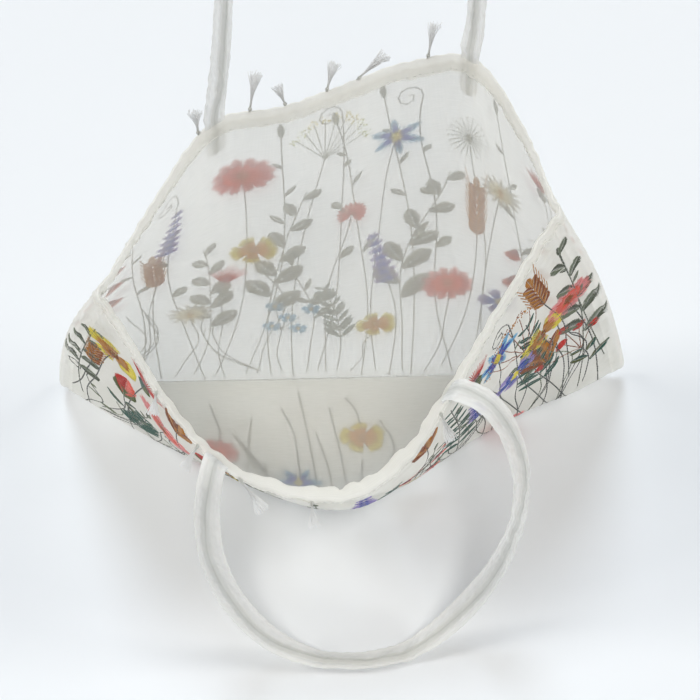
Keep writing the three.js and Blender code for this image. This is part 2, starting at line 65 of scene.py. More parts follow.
DENT_LEAN = 0.6  # spread of the turns from upright, in radians
DENT_LONG = (0.015, 0.060)
DENT_HALF = (0.003, 0.009)
DENT_DEEP = 0.0011
PUCKERS = ((0.0009, 0.022), (0.0014, 0.018), (0.0005, 0.016))  # height and fade at hem, sides and bottom

# The hem edge: across the cloth, x, y, z, and in front the length of cloth that lies on the table
BACK_HEM = np.array([
    (-0.200, -0.134, -0.094, 0.250),
    (-0.140, -0.106, -0.044, 0.269),
    (-0.082, -0.073, 0.000, 0.288),
    (-0.040, -0.034, 0.014, 0.286),
    (0.000, 0.001, 0.032, 0.286),
    (0.040, 0.036, 0.048, 0.288),
    (0.082, 0.077, 0.050, 0.290),
    (0.140, 0.103, 0.000, 0.280),
    (0.200, 0.117, -0.057, 0.269),
])
FRONT_HEM = np.array([
    (-0.200, -0.134, -0.094, 0.250, 0.000),
    (-0.140, -0.109, -0.120, 0.201, 0.040),
    (-0.082, -0.075, -0.149, 0.166, 0.074),
    (-0.040, -0.038, -0.163, 0.153, 0.090),
    (0.000, 0.002, -0.165, 0.151, 0.096),
    (0.040, 0.035, -0.150, 0.169, 0.087),
    (0.082, 0.057, -0.128, 0.197, 0.058),
    (0.140, 0.086, -0.094, 0.233, 0.024),
    (0.200, 0.117, -0.057, 0.269, 0.000),
])
# Soft folds that run up a panel: middle and half width across, height out of the cloth, and the shares of
# the panel's height that they run from and to
BACK_FOLDS = [
    (-0.148, 0.038, 0.012, -0.10, 1.05),
    (0.150, 0.038, 0.008, -0.10, 1.05),
    (-0.045, 0.026, 0.003, 0.30, 0.95),
    (0.048, 0.030, 0.004, 0.20, 0.95),
]
FRONT_FOLDS = [
    (-0.160, 0.018, -0.004, 0.45, 1.10),
    (-0.112, 0.024, 0.005, 0.40, 1.00),
    (0.000, 0.050, 0.006, 0.45, 1.00),
    (0.118, 0.026, 0.004, 0.35, 1.00),
]


def smooth(low, high, value):
    share = np.clip((value - low) / (high - low), 0, 1)
    return share * share * (3 - 2 * share)


def along(table, column, place):
    """Smooth curve through one column of a table, over the table's first column."""
    stops, values = table[:, 0], table[:, column]
    order = np.arange(len(stops))
    behind, ahead = np.maximum(order - 1, 0), np.minimum(order + 1, len(stops) - 1)
    slope = (values[ahead] - values[behind]) / (stops[ahead] - stops[behind])
    i = np.clip(np.searchsorted(stops, place) - 1, 0, len(stops) - 2)
    span = stops[i + 1] - stops[i]
    s = (place - stops[i]) / span
    rise = values[i + 1] - values[i]
    bend_start = slope[i] * span - rise
    bend_end = rise - slope[i + 1] * span
    return values[i] + s * rise + s * (1 - s) * ((1 - s) * bend_start + s * bend_end)


def hem_points(table, across):
    return np.stack([along(table, column, across) for column in (1, 2, 3)], axis=-1)


def seam_lift(across):
    rise = np.clip((np.abs(across) - EAR_LIFT_FROM) / (FLAT_WIDTH / 2 - EAR_LIFT_FROM), 0, 1)
    return rise ** 2 * np.where(across < 0, *EAR_LIFT)


def edge_share(across, start):
    return smooth(start, 1, 2 * np.abs(across) / FLAT_WIDTH)


def side_roll(height):
    return EAR_ROLL + (CORNER_ROLL - EAR_ROLL) * height


def side_swell(across, height):
    return edge_share(across, SWELL_FROM) * np.sin(np.pi * height) * np.where(across < 0, *SIDE_SWELL)


def back_column(across, height):
    seam = np.array([across, SEAM_Y, seam_lift(across)])
    points = seam + (hem_points(BACK_HEM, across) - seam) * height[:, None]
    points[:, 0] += side_swell(across, height)
    points[:, 1] += edge_share(across, ROLL_FROM) * side_roll(height) * height
    return points


def front_column(across, height):
    """From under the bottom seam along the table to the foot, round a bend, and up to the hem."""
    lift = seam_lift(across)
    lying = along(FRONT_HEM, 4, across)
    start = np.array([across, SEAM_Y - 2 * EAR_ROLL, lift])
    foot = start - (0, lying, 0)
    hem = hem_points(FRONT_HEM, across) - (0, edge_share(across, ROLL_FROM) * CORNER_ROLL, 0)
    bend = min(FOOT_BEND, FOOT_BEND_SHARE * lying)
    enter = foot + (0, bend, 0)
    leave = foot + (hem - foot) / np.linalg.norm(hem - foot) * bend
    t = np.linspace(0, 1, BEND_STEPS)[:, None]
    turn = (1 - t) ** 2 * enter + 2 * t * (1 - t) * foot + t ** 2 * leave
    path = np.vstack([start + (0, 2 * EAR_ROLL, 0), start, turn, hem])
    run = np.concatenate([[0], np.cumsum(np.linalg.norm(np.diff(path, axis=0), axis=1))])
    points = np.stack([np.interp(height * run[-1], run, path[:, k]) for k in range(3)], axis=-1)
    points[:, 0] += side_swell(across, height)
    return points


def fold_height(folds, across, height):
    out = np.zeros(np.broadcast(across, height).shape)
    for middle, half, deep, low, high in folds:
        up = np.clip((height - low) / (high - low), 0, 1)
        out += deep * np.exp(-((across - middle) / half) ** 2) * np.sin(np.pi * up) ** 2
    return out


def ripple(seed, run, short=0.006, long=0.024, waves=6):
    """Uneven waves along a run, between -1 and 1; short and long are the bounds of their lengths."""
    chance = np.random.default_rng(seed)
    lengths = chance.uniform(short, long, waves)
    starts = chance.uniform(0, 2 * math.pi, waves)
    return sum(np.sin(2 * math.pi * run / length + start) for length, start in zip(lengths, starts)) / waves


def creases(seed, across, up):
    """Dents left from handling, and puckers that fade away from the sewn edges."""
    chance = np.random.default_rng(seed)
    out = np.zeros(np.broadcast(across, up).shape)
    for _ in range(DENTS):
        beside = across - chance.uniform(-DENT_ACROSS, DENT_ACROSS)
        above = up - chance.uniform(*DENT_UP)
        turn = chance.normal(math.pi / 2, DENT_LEAN)
        long = chance.uniform(*DENT_LONG)
        half = chance.uniform(*DENT_HALF)
        deep = chance.uniform(-DENT_DEEP, DENT_DEEP)
        length = (beside * math.cos(turn) + above * math.sin(turn)) / long
        width = (above * math.cos(turn) - beside * math.sin(turn)) / half
        out += deep * np.exp(-length ** 2 - width ** 2)
    edges = ((across, FLAT_HEIGHT - up), (up, FLAT_WIDTH / 2 - np.abs(across)), (across, up))
    for number, ((run, away), (high, fade)) in enumerate(zip(edges, PUCKERS), 1):
        out += high * ripple(seed + number, run) * np.exp(-away / fade)
    return out


def normals_of(points):
    cross = np.cross(np.gradient(points, axis=0), np.gradient(points, axis=1))
    return cross / np.maximum(np.linalg.norm(cross, axis=-1, keepdims=True), 1e-12)


class Panel:
    """Dense grid of a panel: columns from the left side seam to the right one, rows up to the hem edge."""

    def __init__(self, column, outside, folds, seed):
        half = FLAT_WIDTH / 2 - EAR_ROLL / 2
        inner = np.linspace(-half, half, COLUMNS)
        height = np.linspace(0, 1, ROWS)
        points = np.stack([column(across, height) for across in inner])
        normals = normals_of(points) * outside
        deep = fold_height(folds, inner[:, None], height[None, :])
        deep += creases(seed, inner[:, None], height[None, :] * FLAT_HEIGHT)
        points += normals * deep[..., None]
        turns = np.linspace(0, math.pi / 2, ROLL_STEPS + 1)[1:]
        right = self.rolled(points[-1], inner[-1], 1, height, turns)
        left = self.rolled(points[0], inner[0], -1, height, turns)[::-1]
        reach = np.arange(1, ROLL_STEPS + 1) * EAR_ROLL / ROLL_STEPS
        self.across = np.concatenate([inner[0] - reach[::-1], inner, inner[-1] + reach])
        self.points = np.concatenate([left, points, right])
        self.points[..., 2] = np.maximum(self.points[..., 2], TABLE_GAP)
        self.normals = normals_of(self.points) * outside

    @staticmethod
    def rolled(edge, across, side, height, turns):
        """Columns that carry the panel round the edge of the bag to its side seam."""
        middle = (back_column(across, height) + front_column(across, height)) / 2
        reach = side * side_roll(height)[:, None] * (1, 0, 0)
        return np.stack([middle + (edge - middle) * math.cos(t) + reach * math.sin(t) for t in turns])

    def at(self, across, up, out=0.0):
        """Places on the cloth by the distance across and up the flat cut, and out of its face."""
        across, up, out = np.broadcast_arrays(across, up, out)
        column = np.interp(across, self.across, np.arange(len(self.across)))
        row = up / FLAT_HEIGHT * (ROWS - 1)
        c = np.minimum(column.astype(int), len(self.across) - 2)
        r = np.clip(row.astype(int), 0, ROWS - 2)
        s, t = (column - c)[..., None], (row - r)[..., None]

        def blend(grid):
            low = grid[c, r] + (grid[c + 1, r] - grid[c, r]) * s
            high = grid[c, r + 1] + (grid[c + 1, r + 1] - grid[c, r + 1]) * s
            return low + (high - low) * t

        return blend(self.points) + blend(self.normals) * out[..., None]


back = Panel(back_column, outside=-1, folds=BACK_FOLDS, seed=11)
front = Panel(front_column, outside=1, folds=FRONT_FOLDS, seed=23)
# The two panels share one face direction along each side seam
for edge in (0, -1):
    shared = back.normals[edge] + front.normals[edge]
    shared /= np.linalg.norm(shared, axis=-1, keepdims=True)
    back.normals[edge] = shared
    front.normals[edge] = shared


class Wire:
    """An output socket of a material's node; sums, differences and products of wires add Math nodes."""

    def __init__(self, socket):
        self.socket = socket

    def maths(self, operation, *values):
        node = self.socket.id_data.nodes.new("ShaderNodeMath")
        node.operation = operation
        for slot, value in zip(node.inputs, values):
            join(slot, value)
        return Wire(node.outputs[0])

    def __add__(self, other):
        return self.maths("ADD", self, other)

    def __sub__(self, other):
        return self.maths("SUBTRACT", self, other)

    def __rsub__(self, other):
        return self.maths("SUBTRACT", other, self)

    def __mul__(self, other):
        return self.maths("MULTIPLY", self, other)

    __radd__ = __add__
    __rmul__ = __mul__

    def wave(self):
        """Sine, from 0 to 1."""
        return self.maths("SINE", self) * 0.5 + 0.5

    def size(self):
        return self.maths("ABSOLUTE", self)

    def step(self, low, high):
        """From 0 to 1 as the value goes from low to high."""
        slope = 1 / (high - low)
        return self.maths("MINIMUM", self.maths("MAXIMUM", self * slope - low * slope, 0), 1)


def join(slot, value):
    if isinstance(value, Wire):
        slot.id_data.links.new(value.socket, slot)
    else:
        slot.default_value = value


class Finish:
    """A material, built node by node."""

    def __init__(self, name):
        self.material = bpy.data.materials.new(name)
        self.material.use_nodes = True
        self.tree = self.material.node_tree
        self.tree.nodes.clear()

    def node(self, kind, settings=None, sockets=None, output=0):
        node = self.tree.nodes.new("ShaderNode" + kind)
        for key, value in (settings or {}).items():
            if key == "stops":
                for element, (place, colour) in zip(node.color_ramp.elements, value):
                    element.position = place
                    element.color = (*colour, 1)
            else:
                setattr(node, key, value)
        for key, value in (sockets or {}).items():
            join(node.inputs[key], value)
        return Wire(node.outputs[output]) if node.outputs else None

    def cut(self):
        """The flat cut's two directions, in metres."""
        place = self.node("UVMap", {"uv_map": "cut"})
        return [self.node("SeparateXYZ", None, {0: place}, axis) for axis in (0, 1)]

    def grain(self, scale, stretch=(1, 1, 1), detail=3.0):
        """Noise over the flat cut, in lumps of 1 / scale metres."""
        place = self.node("UVMap", {"uv_map": "cut"})
        place = self.node("VectorMath", {"operation": "MULTIPLY"}, {0: place, 1: stretch})
        return self.node("TexNoise", None, {"Vector": place, "Scale": scale, "Detail": detail})

    def mix(self, factor, first, second, blend="MIX"):
        settings = {"data_type": "RGBA", "blend_type": blend}
        return self.node("Mix", settings, {0: factor, 6: first, 7: second}, 2)

    def bump(self, height, strength, distance):
        return self.node("Bump", None, {"Strength": strength, "Distance": distance, "Height": height})

    def solid(self, surface):
        lit = self.node("BsdfPrincipled", None, surface)
        self.node("OutputMaterial", None, {"Surface": lit})
        return self.material

    def sheer(self, surface, glow, colour):
        """A surface that also lets a share of the light from behind shine through, the glow."""
        lit = self.node("BsdfPrincipled", None, surface)
        through = self.node("BsdfTranslucent", None, {"Color": colour})
        both = self.node("MixShader", None, {0: glow, 1: lit, 2: through})
        self.node("OutputMaterial", None, {"Surface": both})
        return self.material


ORGANZA_WHITE = (0.985, 0.972, 0.925)
ORGANZA_SHADE = (0.955, 0.942, 0.885)
MOTTLE = (0.35, 0.7)  # noise where a cloth's second shade starts and is full
WEAVE_DENSE = 0.08  # opacity that the threads add, and as much again their slubs
CLOUD_DENSE = 0.04
SEAM_ALLOWANCE = 0.008
SEAM_EDGE = 0.001  # width in which the strip grows denser
SEAM_DENSE = 0.2


def organza(name, colour, shade, opacity, glow, pitch, seams=0.0):
    """Sheer plain weave: fine uneven threads both ways, a little slub and a soft silky sheen. With seams,
    the cloth that is turned in along the sides and the bottom shows as a denser strip."""
    finish = Finish(name)
    across, up = finish.cut()
    turns = 2 * math.pi / pitch
    warp = (across * turns).wave()
    weft = (up * turns).wave()
    weave = warp * 0.5 + weft * 0.5
    slub = finish.grain(scale=90, stretch=(1, 14, 1))
    cloud = finish.grain(scale=14)
    tint = finish.mix(cloud.step(*MOTTLE), (*colour, 1), (*shade, 1))
    alpha = opacity - WEAVE_DENSE + weave * WEAVE_DENSE + slub * WEAVE_DENSE + cloud * CLOUD_DENSE
    if seams:
        strip = FLAT_WIDTH / 2 - seams
        alpha = alpha + across.size().step(strip, strip + SEAM_EDGE) * SEAM_DENSE
        alpha = alpha + (1 - up.step(0, 2 * seams)) * SEAM_DENSE
    height = weave * 0.6 + slub
    surface = {
        "Base Color": tint,
        "Roughness": 0.42 + slub * 0.2,
        "Alpha": alpha,
        "Normal": finish.bump(height, strength=0.25, distance=0.0003),
        "Sheen Weight": 0.35,
        "Sheen Roughness": 0.4,
        "Specular IOR Level": 0.35,
    }
    return finish.sheer(surface, glow, (*colour, 1))


def add_mesh(name, points, faces, material, cut=None, paint=None):
    """A smooth mesh in the scene; cut is a UV for each point, paint a colour for each point."""
    mesh = bpy.data.meshes.new(name)
    mesh.from_pydata(points.reshape(-1, 3).tolist(), [], faces.tolist())
    if cut is not None:
        layer = mesh.uv_layers.new(name="cut")
        layer.data.foreach_set("uv", cut.reshape(-1, 2)[faces.ravel()].ravel())
    if paint is not None:
        layer = mesh.attributes.new("thread", "FLOAT_COLOR", "POINT")
        layer.data.foreach_set("color", paint.ravel())
    mesh.polygons.foreach_set("use_smooth", [True] * len(mesh.polygons))
    mesh.materials.append(material)
    mesh.update()
    made = bpy.data.objects.new(name, mesh)
    bpy.context.scene.collection.objects.link(made)
    return made


def add_piece(*mesh_parts):
    """A mesh that rides on the bag's one body."""
    piece = add_mesh(*mesh_parts)
    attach(piece, "root")
    return piece


def grid_faces(columns, rows, round_rows=False):
    """Quads of a grid of points; with round_rows the last row joins the first."""
    index = np.arange(columns * rows).reshape(columns, rows)
    if round_rows:
        index = np.hstack([index, index[:, :1]])
    corners = [index[:-1, :-1], index[1:, :-1], index[1:, 1:], index[:-1, 1:]]
    return np.stack(corners, axis=-1).reshape(-1, 4)


organza_finish = organza(
    "organza", ORGANZA_WHITE, ORGANZA_SHADE, opacity=0.33, glow=0.30, pitch=0.0007, seams=SEAM_ALLOWANCE
)


def panel_cloth(name, panel):
    up = np.linspace(0, FLAT_HEIGHT - PANEL_TOP, ROWS)
    places = np.stack(np.meshgrid(panel.across, up, indexing="ij"), axis=-1)
    points = panel.at(places[..., 0], places[..., 1])
    return add_piece(name, points, grid_faces(*points.shape[:2]), organza_finish, places)


back_cloth = panel_cloth("back_cloth", back)
front_cloth = panel_cloth("front_cloth", front)
for cloth, node in ((back_cloth, "back_panel"), (front_cloth, "front_panel")):
    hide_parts(node)

# Embroidery
# A meadow of wild flowers worked in coloured silk on each outer panel, thread by thread through the cloth.
# Stems rise from low on the cloth; the threads show bright outside and paler inside, behind the lining,
# where the flowers' colours are also lifted by a painted glow.
THREAD = 0.0008
THREAD_SPACING = 0.00072
THREAD_SHADES = (0.8, 1.12)  # darkest and brightest, as shares of a dye
STITCH_RISE = (0.00025, 0.00045)  # least and most above the cloth
STITCH_UNDER = 0.0002
STITCH_SHOULDER = 0.2  # rise at a stitch's sides, as a share of its middle
STITCH_CUT = (0.004, 0.002)  # length and girth of a stitch for the grain of its silk
STEM_STITCH = 0.0046
STEM_WIDTH = 0.0010
STEM_LAP = 0.22  # of a stitch, at each end
STEM_SLANT = 0.12  # of the width, to each side
STEM_SWAY = 0.004
STEM_SWAYS = 2.7  # half waves along a stem
TWIG_WIDTH = 0.0008
BACK_ROOTS = (0.002, 0.012)  # stems start between these heights above the bottom seam
FRONT_ROOTS = (0.012, 0.080)
ROOT_SHARE = 0.35  # but no higher than this share of their height
LEAF_RUN = (0.05, 0.97)  # of the length, covered with stitches
LEAF_SHAPE = 0.85  # below 1, a leaf is widest nearer its base
LEAF_SLANT = 0.55  # how far a stitch goes towards the tip for its way out
LEAF_REACH = (0.9, 1.08)
LEAF_TURN = 0.75  # from the stem, in radians
LEAF_TAPER = 0.5  # how much shorter the top leaf of a stem is
PETAL_BASE = 0.12  # half the width at the base, as a share of the width at the rim
PETAL_REACH = (0.94, 1.04)
PETAL_SPLIT = (0.38, 0.62)  # of a thread's run, where the second tone starts
PETAL_LAP = 0.1
PETAL_BLUNT = 0.2  # how much shorter a petal is at its sides
PETAL_FROM = 0.15  # of the way out from the flower's middle
FIRST_PETAL = 0.3  # of a petal's share of the round
SEEN_FROM_SIDE = 0.8  # how much a round flower is squeezed
HEART = 0.14  # radius, for the flower's width
HEART_KNOTS = 18
KNOT_HALF = 0.8  # of a thread, along it
KNOT_WIDTH = 1.3
DISC_EDGE = 0.9  # of the radius, at the first and last thread
UNDER_PALE = {"leaves": 0.8, "flowers": 0.35}  # how much of the inner side is pale bobbin thread
# Painted glow: the inner side's colour is lifted as if light shone through the thread
UNDER_PAINTED_GLOW = {"leaves": 0.0, "flowers": 0.7}  # how far its colour is lifted, where light shines through
BOBBIN = (0.93, 0.93, 0.91)
# Red, green and blue of each dye, out of 255
DYES = {
    "stem": (84, 92, 74),
    "ink": (44, 52, 46),
    "pine": (30, 88, 74),
    "sage": (118, 128, 106),
    "moss": (88, 98, 46),
    "ochre": (186, 122, 32),
    "rust": (142, 74, 26),
    "lemon": (232, 214, 70),
    "lime": (200, 208, 96),
    "coral": (230, 100, 84),
    "rose": (236, 148, 148),
    "scarlet": (202, 46, 36),
    "wine": (116, 22, 50),
    "sky": (118, 182, 222),
    "cobalt": (56, 80, 176),
    "lilac": (156, 142, 204),
    "cream": (244, 236, 208),
    "white": (246, 246, 242),
}
GREENS = ("stem", "ink", "pine", "sage", "moss")


def dye(name):
    """A thread's colour in linear light."""
    share = np.array(DYES[name]) / 255
    return np.where(share <= 0.04045, share / 12.92, ((share + 0.055) / 1.055) ** 2.4)


class Hoop:
    """Stitches worked on one panel. Places on the flat cloth are complex numbers: across + up * 1j."""

    def __init__(self, seed):
        self.chance = np.random.default_rng(seed)
        self.stitches = {"leaves": [], "flowers": []}

    def stitch(self, start, end, colour, width=THREAD):
        kind = "leaves" if colour in GREENS else "flowers"
        shade = dye(colour) * self.chance.uniform(*THREAD_SHADES)
        self.stitches[kind].append((start, end, width, *shade))

    def line(self, points, colour, width=STEM_WIDTH):
        """Stem stitch along a run of points, each stitch lapping the last."""
        points = np.asarray(points)
        run = np.concatenate([[0], np.cumsum(np.abs(np.diff(points)))])
        count = max(1, round(run[-1] / STEM_STITCH))
        stops = np.interp(np.linspace(0, run[-1], count + 1), run, np.arange(len(points)))
        place = np.interp(stops, np.arange(len(points)), points.real)
        place = place + 1j * np.interp(stops, np.arange(len(points)), points.imag)
        for start, end in zip(place[:-1], place[1:]):
            lap = (end - start) * STEM_LAP
            shift = 1j * (end - start) / abs(end - start) * width * STEM_SLANT
            self.stitch(start - lap - shift, end + lap + shift, colour, width)

    def leaf(self, base, tip, slim, colour, other=None):
        """Satin stitch slanting out to both sides of a vein; slim is the leaf's width for its length."""
        long = abs(tip - base)
        way = (tip - base) / long
        for run in np.arange(*LEAF_RUN, THREAD_SPACING / long):
            half = long * slim / 2 * math.sin(math.pi * run ** LEAF_SHAPE) + THREAD / 4
            middle = base + way * long * run
            for side, shade in ((1, colour), (-1, other or colour)):
                reach = half * self.chance.uniform(*LEAF_REACH)
                self.stitch(middle, middle + way * reach * (LEAF_SLANT + side * 1j), shade)

    def petal(self, base, tip, slim, inner, outer, blunt=PETAL_BLUNT):
        """Long and short stitch from the base to the rim, in two tones."""
        long = abs(tip - base)
        way = (tip - base) / long
        for side in np.linspace(-1, 1, max(4, round(long * slim / THREAD_SPACING))):
            reach = long * (1 - blunt * side ** 2) * self.chance.uniform(*PETAL_REACH)
            end = base + way * (reach + 0.5j * long * slim * side)
            start = base + way * 1j * PETAL_BASE * long * slim * side
            split = self.chance.uniform(*PETAL_SPLIT)
            self.stitch(start, start + (end - start) * (split + PETAL_LAP), inner)
            self.stitch(start + (end - start) * split, end, outer)

    def disc(self, middle, radius, colour):
        """Satin stitch straight across a round patch."""
        count = max(3, round(2 * DISC_EDGE * radius / THREAD_SPACING))
        for level in np.linspace(-DISC_EDGE, DISC_EDGE, count):
            half = radius * math.sqrt(1 - level ** 2)
            self.stitch(middle + radius * level * 1j - half, middle + radius * level * 1j + half, colour)

    def knots(self, middle, radius, count, colour):
        """Small knots scattered over a disc."""
        for _ in range(count):
            away = radius * math.sqrt(self.chance.uniform())
            spot = middle + away * np.exp(2j * math.pi * self.chance.uniform())
            half = np.exp(1j * math.pi * self.chance.uniform()) * THREAD * KNOT_HALF
            self.stitch(spot - half, spot + half, colour, THREAD * KNOT_WIDTH)


def bent(start, end, bow, sway=0.0, steps=28):
    """A run of places from start to end that bows to one side and sways as it goes."""
    t = np.linspace(0, 1, steps)
    waves = t * np.sin(STEM_SWAYS * math.pi * t)
    return start + (end - start) * t + bow * np.sin(math.pi * t) + sway * waves


# Each motif takes the hoop, the head of its stem, the way the stem points there, whose length is the
# motif's scale, and the run of the stem. Its own sizes are in metres at scale 1, and its turns in radians.
def blossom(size, petals, slim, tones, heart, blunt=PETAL_BLUNT):
    """The motif of a round flower: equal petals, seen a little from the side, and a knotted heart."""
    def motif(hoop, head, way, stem):
        for k in range(petals):
            turn = np.exp(2j * math.pi * (k + FIRST_PETAL) / petals)
            reach = way * (turn.real * SEEN_FROM_SIDE + 1j * turn.imag) * size / 2
            hoop.petal(head + reach * PETAL_FROM, head + reach, slim, *tones, blunt)
        radius = abs(way) * size * HEART
        hoop.disc(head, radius, heart[0])
        hoop.knots(head, radius, HEART_KNOTS, heart[1])

    return motif


# Width, petals, a petal's width for its length, tones of the petals and the heart, and how blunt a petal is
marigold = blossom(0.036, 12, 0.52, ("coral", "rose"), ("rust", "ochre"))
buttercup = blossom(0.026, 5, 1.05, ("ochre", "lemon"), ("rust", "lime"))
bluestar = blossom(0.032, 6, 0.55, ("cobalt", "sky"), ("lemon", "ochre"), 0.6)
violet = blossom(0.028, 5, 0.85, ("cobalt", "lilac"), ("lemon", "white"))
daisy = blossom(0.036, 14, 0.34, ("cream", "white"), ("ochre", "lemon"), 0.4)
forget_me_not = blossom(0.012, 5, 0.9, ("sky", "sky"), ("lemon", "ochre"))


def clover(hoop, head, way, stem):
    for ring, count in ((0.010, 15), (0.0065, 11), (0.0035, 7)):
        for turn in np.linspace(-2.2, 2.2, count):
            tip = head + way * (0.003 + ring * np.exp(1j * turn))
            hoop.leaf(head + (tip - head) * 0.35, tip, 0.34, "wine" if count < 9 else "rose", "coral")
    for turn in (-0.9, 0.0, 0.9):
        hoop.leaf(stem[14], stem[14] + way * np.exp(1j * (turn + 0.9)) * 0.011, 0.7, "moss", "pine")


def forget_me_nots(hoop, head, way, stem):
    for turn, reach in ((0.0, 0.0), (0.9, 0.014), (-0.8, 0.015), (2.6, 0.012), (-2.3, 0.013)):
        spot = head + way * np.exp(1j * turn) * reach
        hoop.line([head - way * 0.012, spot], "stem", TWIG_WIDTH)
        forget_me_not(hoop, spot, way, stem)


def wheat(hoop, head, way, stem):
    for k in range(6):
        base = head + way * (0.0056 * k - 0.014)
        for side in (1, -1):
            tip = base + way * (0.0092 + side * 0.0052j)
            hoop.leaf(base, tip, 0.42, "ochre", "rust")
            hoop.line([tip, tip + way * (0.009 + side * 0.0022j)], "ochre", TWIG_WIDTH)
    hoop.leaf(head + way * 0.018, head + way * 0.029, 0.42, "ochre")


def lavender(hoop, head, way, stem):
    for k in range(7):
        base = head + way * (0.0062 * k - 0.02)
        for lean in (-1.1, -0.4, 0.4, 1.1):
            tip = base + way * np.exp(1j * lean) * (0.0086 - 0.0006 * k)
            hoop.petal(base, tip, 0.42, "cobalt", "lilac")


def bells(hoop, head, way, stem):
    for k in range(5):
        side = 1 if k % 2 else -1
        base = head + way * (0.010 - 0.013 * k)
        hang = base + way * (side * 0.0085j - 0.0015)
        hoop.line(bent(base, hang, way * 0.0015, steps=6), "stem", TWIG_WIDTH)
        for lean in (-0.34, 0.0, 0.34):
            tip = hang - way * np.exp(1j * (lean - side * 0.3)) * (0.0105 + 0.0012 * k)
            hoop.petal(hang, tip, 0.48, "wine", "coral", 0.1)


def thistle(hoop, head, way, stem):
    for lean in np.linspace(-0.8, 0.8, 21):
        hoop.stitch(head, head + way * np.exp(1j * lean) * hoop.chance.uniform(0.013, 0.017), "scarlet")
        hoop.stitch(head, head + way * np.exp(1j * lean) * hoop.chance.uniform(0.007, 0.010), "wine")
    for lean in (-0.5, 0.0, 0.5):
        hoop.leaf(head - way * 0.010, head + way * np.exp(1j * lean) * 0.003, 0.5, "pine", "moss")


def yarrow(hoop, head, way, stem):
    for lean in np.linspace(-1.0, 1.0, 7):
        spot = head + way * np.exp(1j * lean) * (0.024 - 0.004 * lean ** 2)
        hoop.line(bent(head - way * 0.014, spot, way * 0.003j * lean, steps=8), "rust", TWIG_WIDTH)
        for turn in (-0.8, 0.0, 0.8):
            tuft = spot + way * np.exp(1j * (lean + turn)) * 0.0034
            hoop.knots(tuft, abs(way) * 0.0026, 9, "ochre" if turn else "rust")


def clock(hoop, head, way, stem):
    for turn in np.linspace(0, 2 * math.pi, 22, endpoint=False):
        tip = head + way * np.exp(1j * turn) * 0.013
        hoop.stitch(head, tip, "sage", TWIG_WIDTH)
        hoop.knots(tip, abs(way) * 0.0012, 2, "white")
    hoop.disc(head, abs(way) * 0.0022, "moss")


def berries(hoop, head, way, stem):
    for lean, reach in ((-0.9, 0.014), (-0.3, 0.020), (0.3, 0.015), (0.9, 0.021), (0.0, 0.029)):
        spot = head + way * np.exp(1j * lean) * reach
        hoop.line([head - way * 0.006, spot], "rust", TWIG_WIDTH)
        hoop.disc(spot, abs(way) * 0.0034, "scarlet")
    leaves_up(hoop, stem, 0.45, 0.85, 4, 0.015 * abs(way), 0.4, ("moss", "pine"))


def umbel(hoop, head, way, stem):
    for lean in np.linspace(-1.15, 1.15, 9):
        spot = head + way * np.exp(1j * lean) * 0.022
        hoop.line([head - way * 0.006, spot], "sage", TWIG_WIDTH)
        hoop.knots(spot, abs(way) * 0.0036, 12, "lemon" if abs(lean) < 0.6 else "lime")


def leaves_up(hoop, stem, first, last, count, long, slim, colours, paired=False):
    """Leaves along a stem, on alternate sides or in pairs."""
    for k, share in enumerate(np.linspace(first, last, count)):
        i = min(int(share * (len(stem) - 1)), len(stem) - 2)
        way = (stem[i + 1] - stem[i]) / abs(stem[i + 1] - stem[i])
        for side in (1, -1) if paired else ((1,) if k % 2 else (-1,)):
            taper = 1 - LEAF_TAPER * (share - first) / (last - first)
            hoop.leaf(stem[i], stem[i] + way * np.exp(1j * LEAF_TURN * side) * long * taper, slim, *colours)


def fern(hoop, head, way, stem):
    leaves_up(hoop, stem, 0.42, 0.98, 10, 0.017 * abs(way), 0.28, ("pine", "pine"), True)


def sprig(hoop, head, way, stem):
    leaves_up(hoop, stem, 0.42, 0.97, 9, 0.021 * abs(way), 0.52, ("sage", "stem"))


def bud(hoop, head, way, stem):
    hoop.leaf(head - way * 0.004, head + way * 0.018, 0.5, "scarlet", "coral")
    for side in (1, -1):
        hoop.leaf(head - way * 0.007, head + way * (0.008 + side * 0.005j), 0.36, "moss")
    leaves_up(hoop, stem, 0.5, 0.8, 3, 0.017 * abs(way), 0.26, ("pine", "stem"))


def autumn_leaves(hoop, head, way, stem):
    for lean, long in ((0.0, 0.036), (0.6, 0.028), (-0.7, 0.024)):
        hoop.leaf(head - way * 0.010, head + way * np.exp(1j * lean) * long * 0.7, 0.32, "rust", "ochre")


def grass(hoop, head, way, stem):
    for turn in (-0.06, 0.0, 0.07):
        blade = stem[0] + (stem - stem[0]) * np.exp(1j * turn) * (1 - abs(turn) * 2)
        hoop.line(blade, "sage" if turn > 0 else "ink", STEM_WIDTH)


def twig(hoop, head, way, stem):
    leaves_up(hoop, stem, 0.55, 0.92, 4, 0.014 * abs(way), 0.3, ("stem", "sage"))
    hoop.leaf(head, head + way * 0.010, 0.36, "stem", "sage")


def tendril(hoop, head, way, stem):
    turn = np.linspace(0, 2.6 * math.pi, 30)
    curl = 0.008 * (1 - turn / 11) * np.exp(1j * turn)
    hoop.line(head + way * (curl - curl[0]) * -1j, "ink", TWIG_WIDTH)
    leaves_up(hoop, stem, 0.5, 0.85, 3, 0.013 * abs(way), 0.55, ("moss", "sage"))


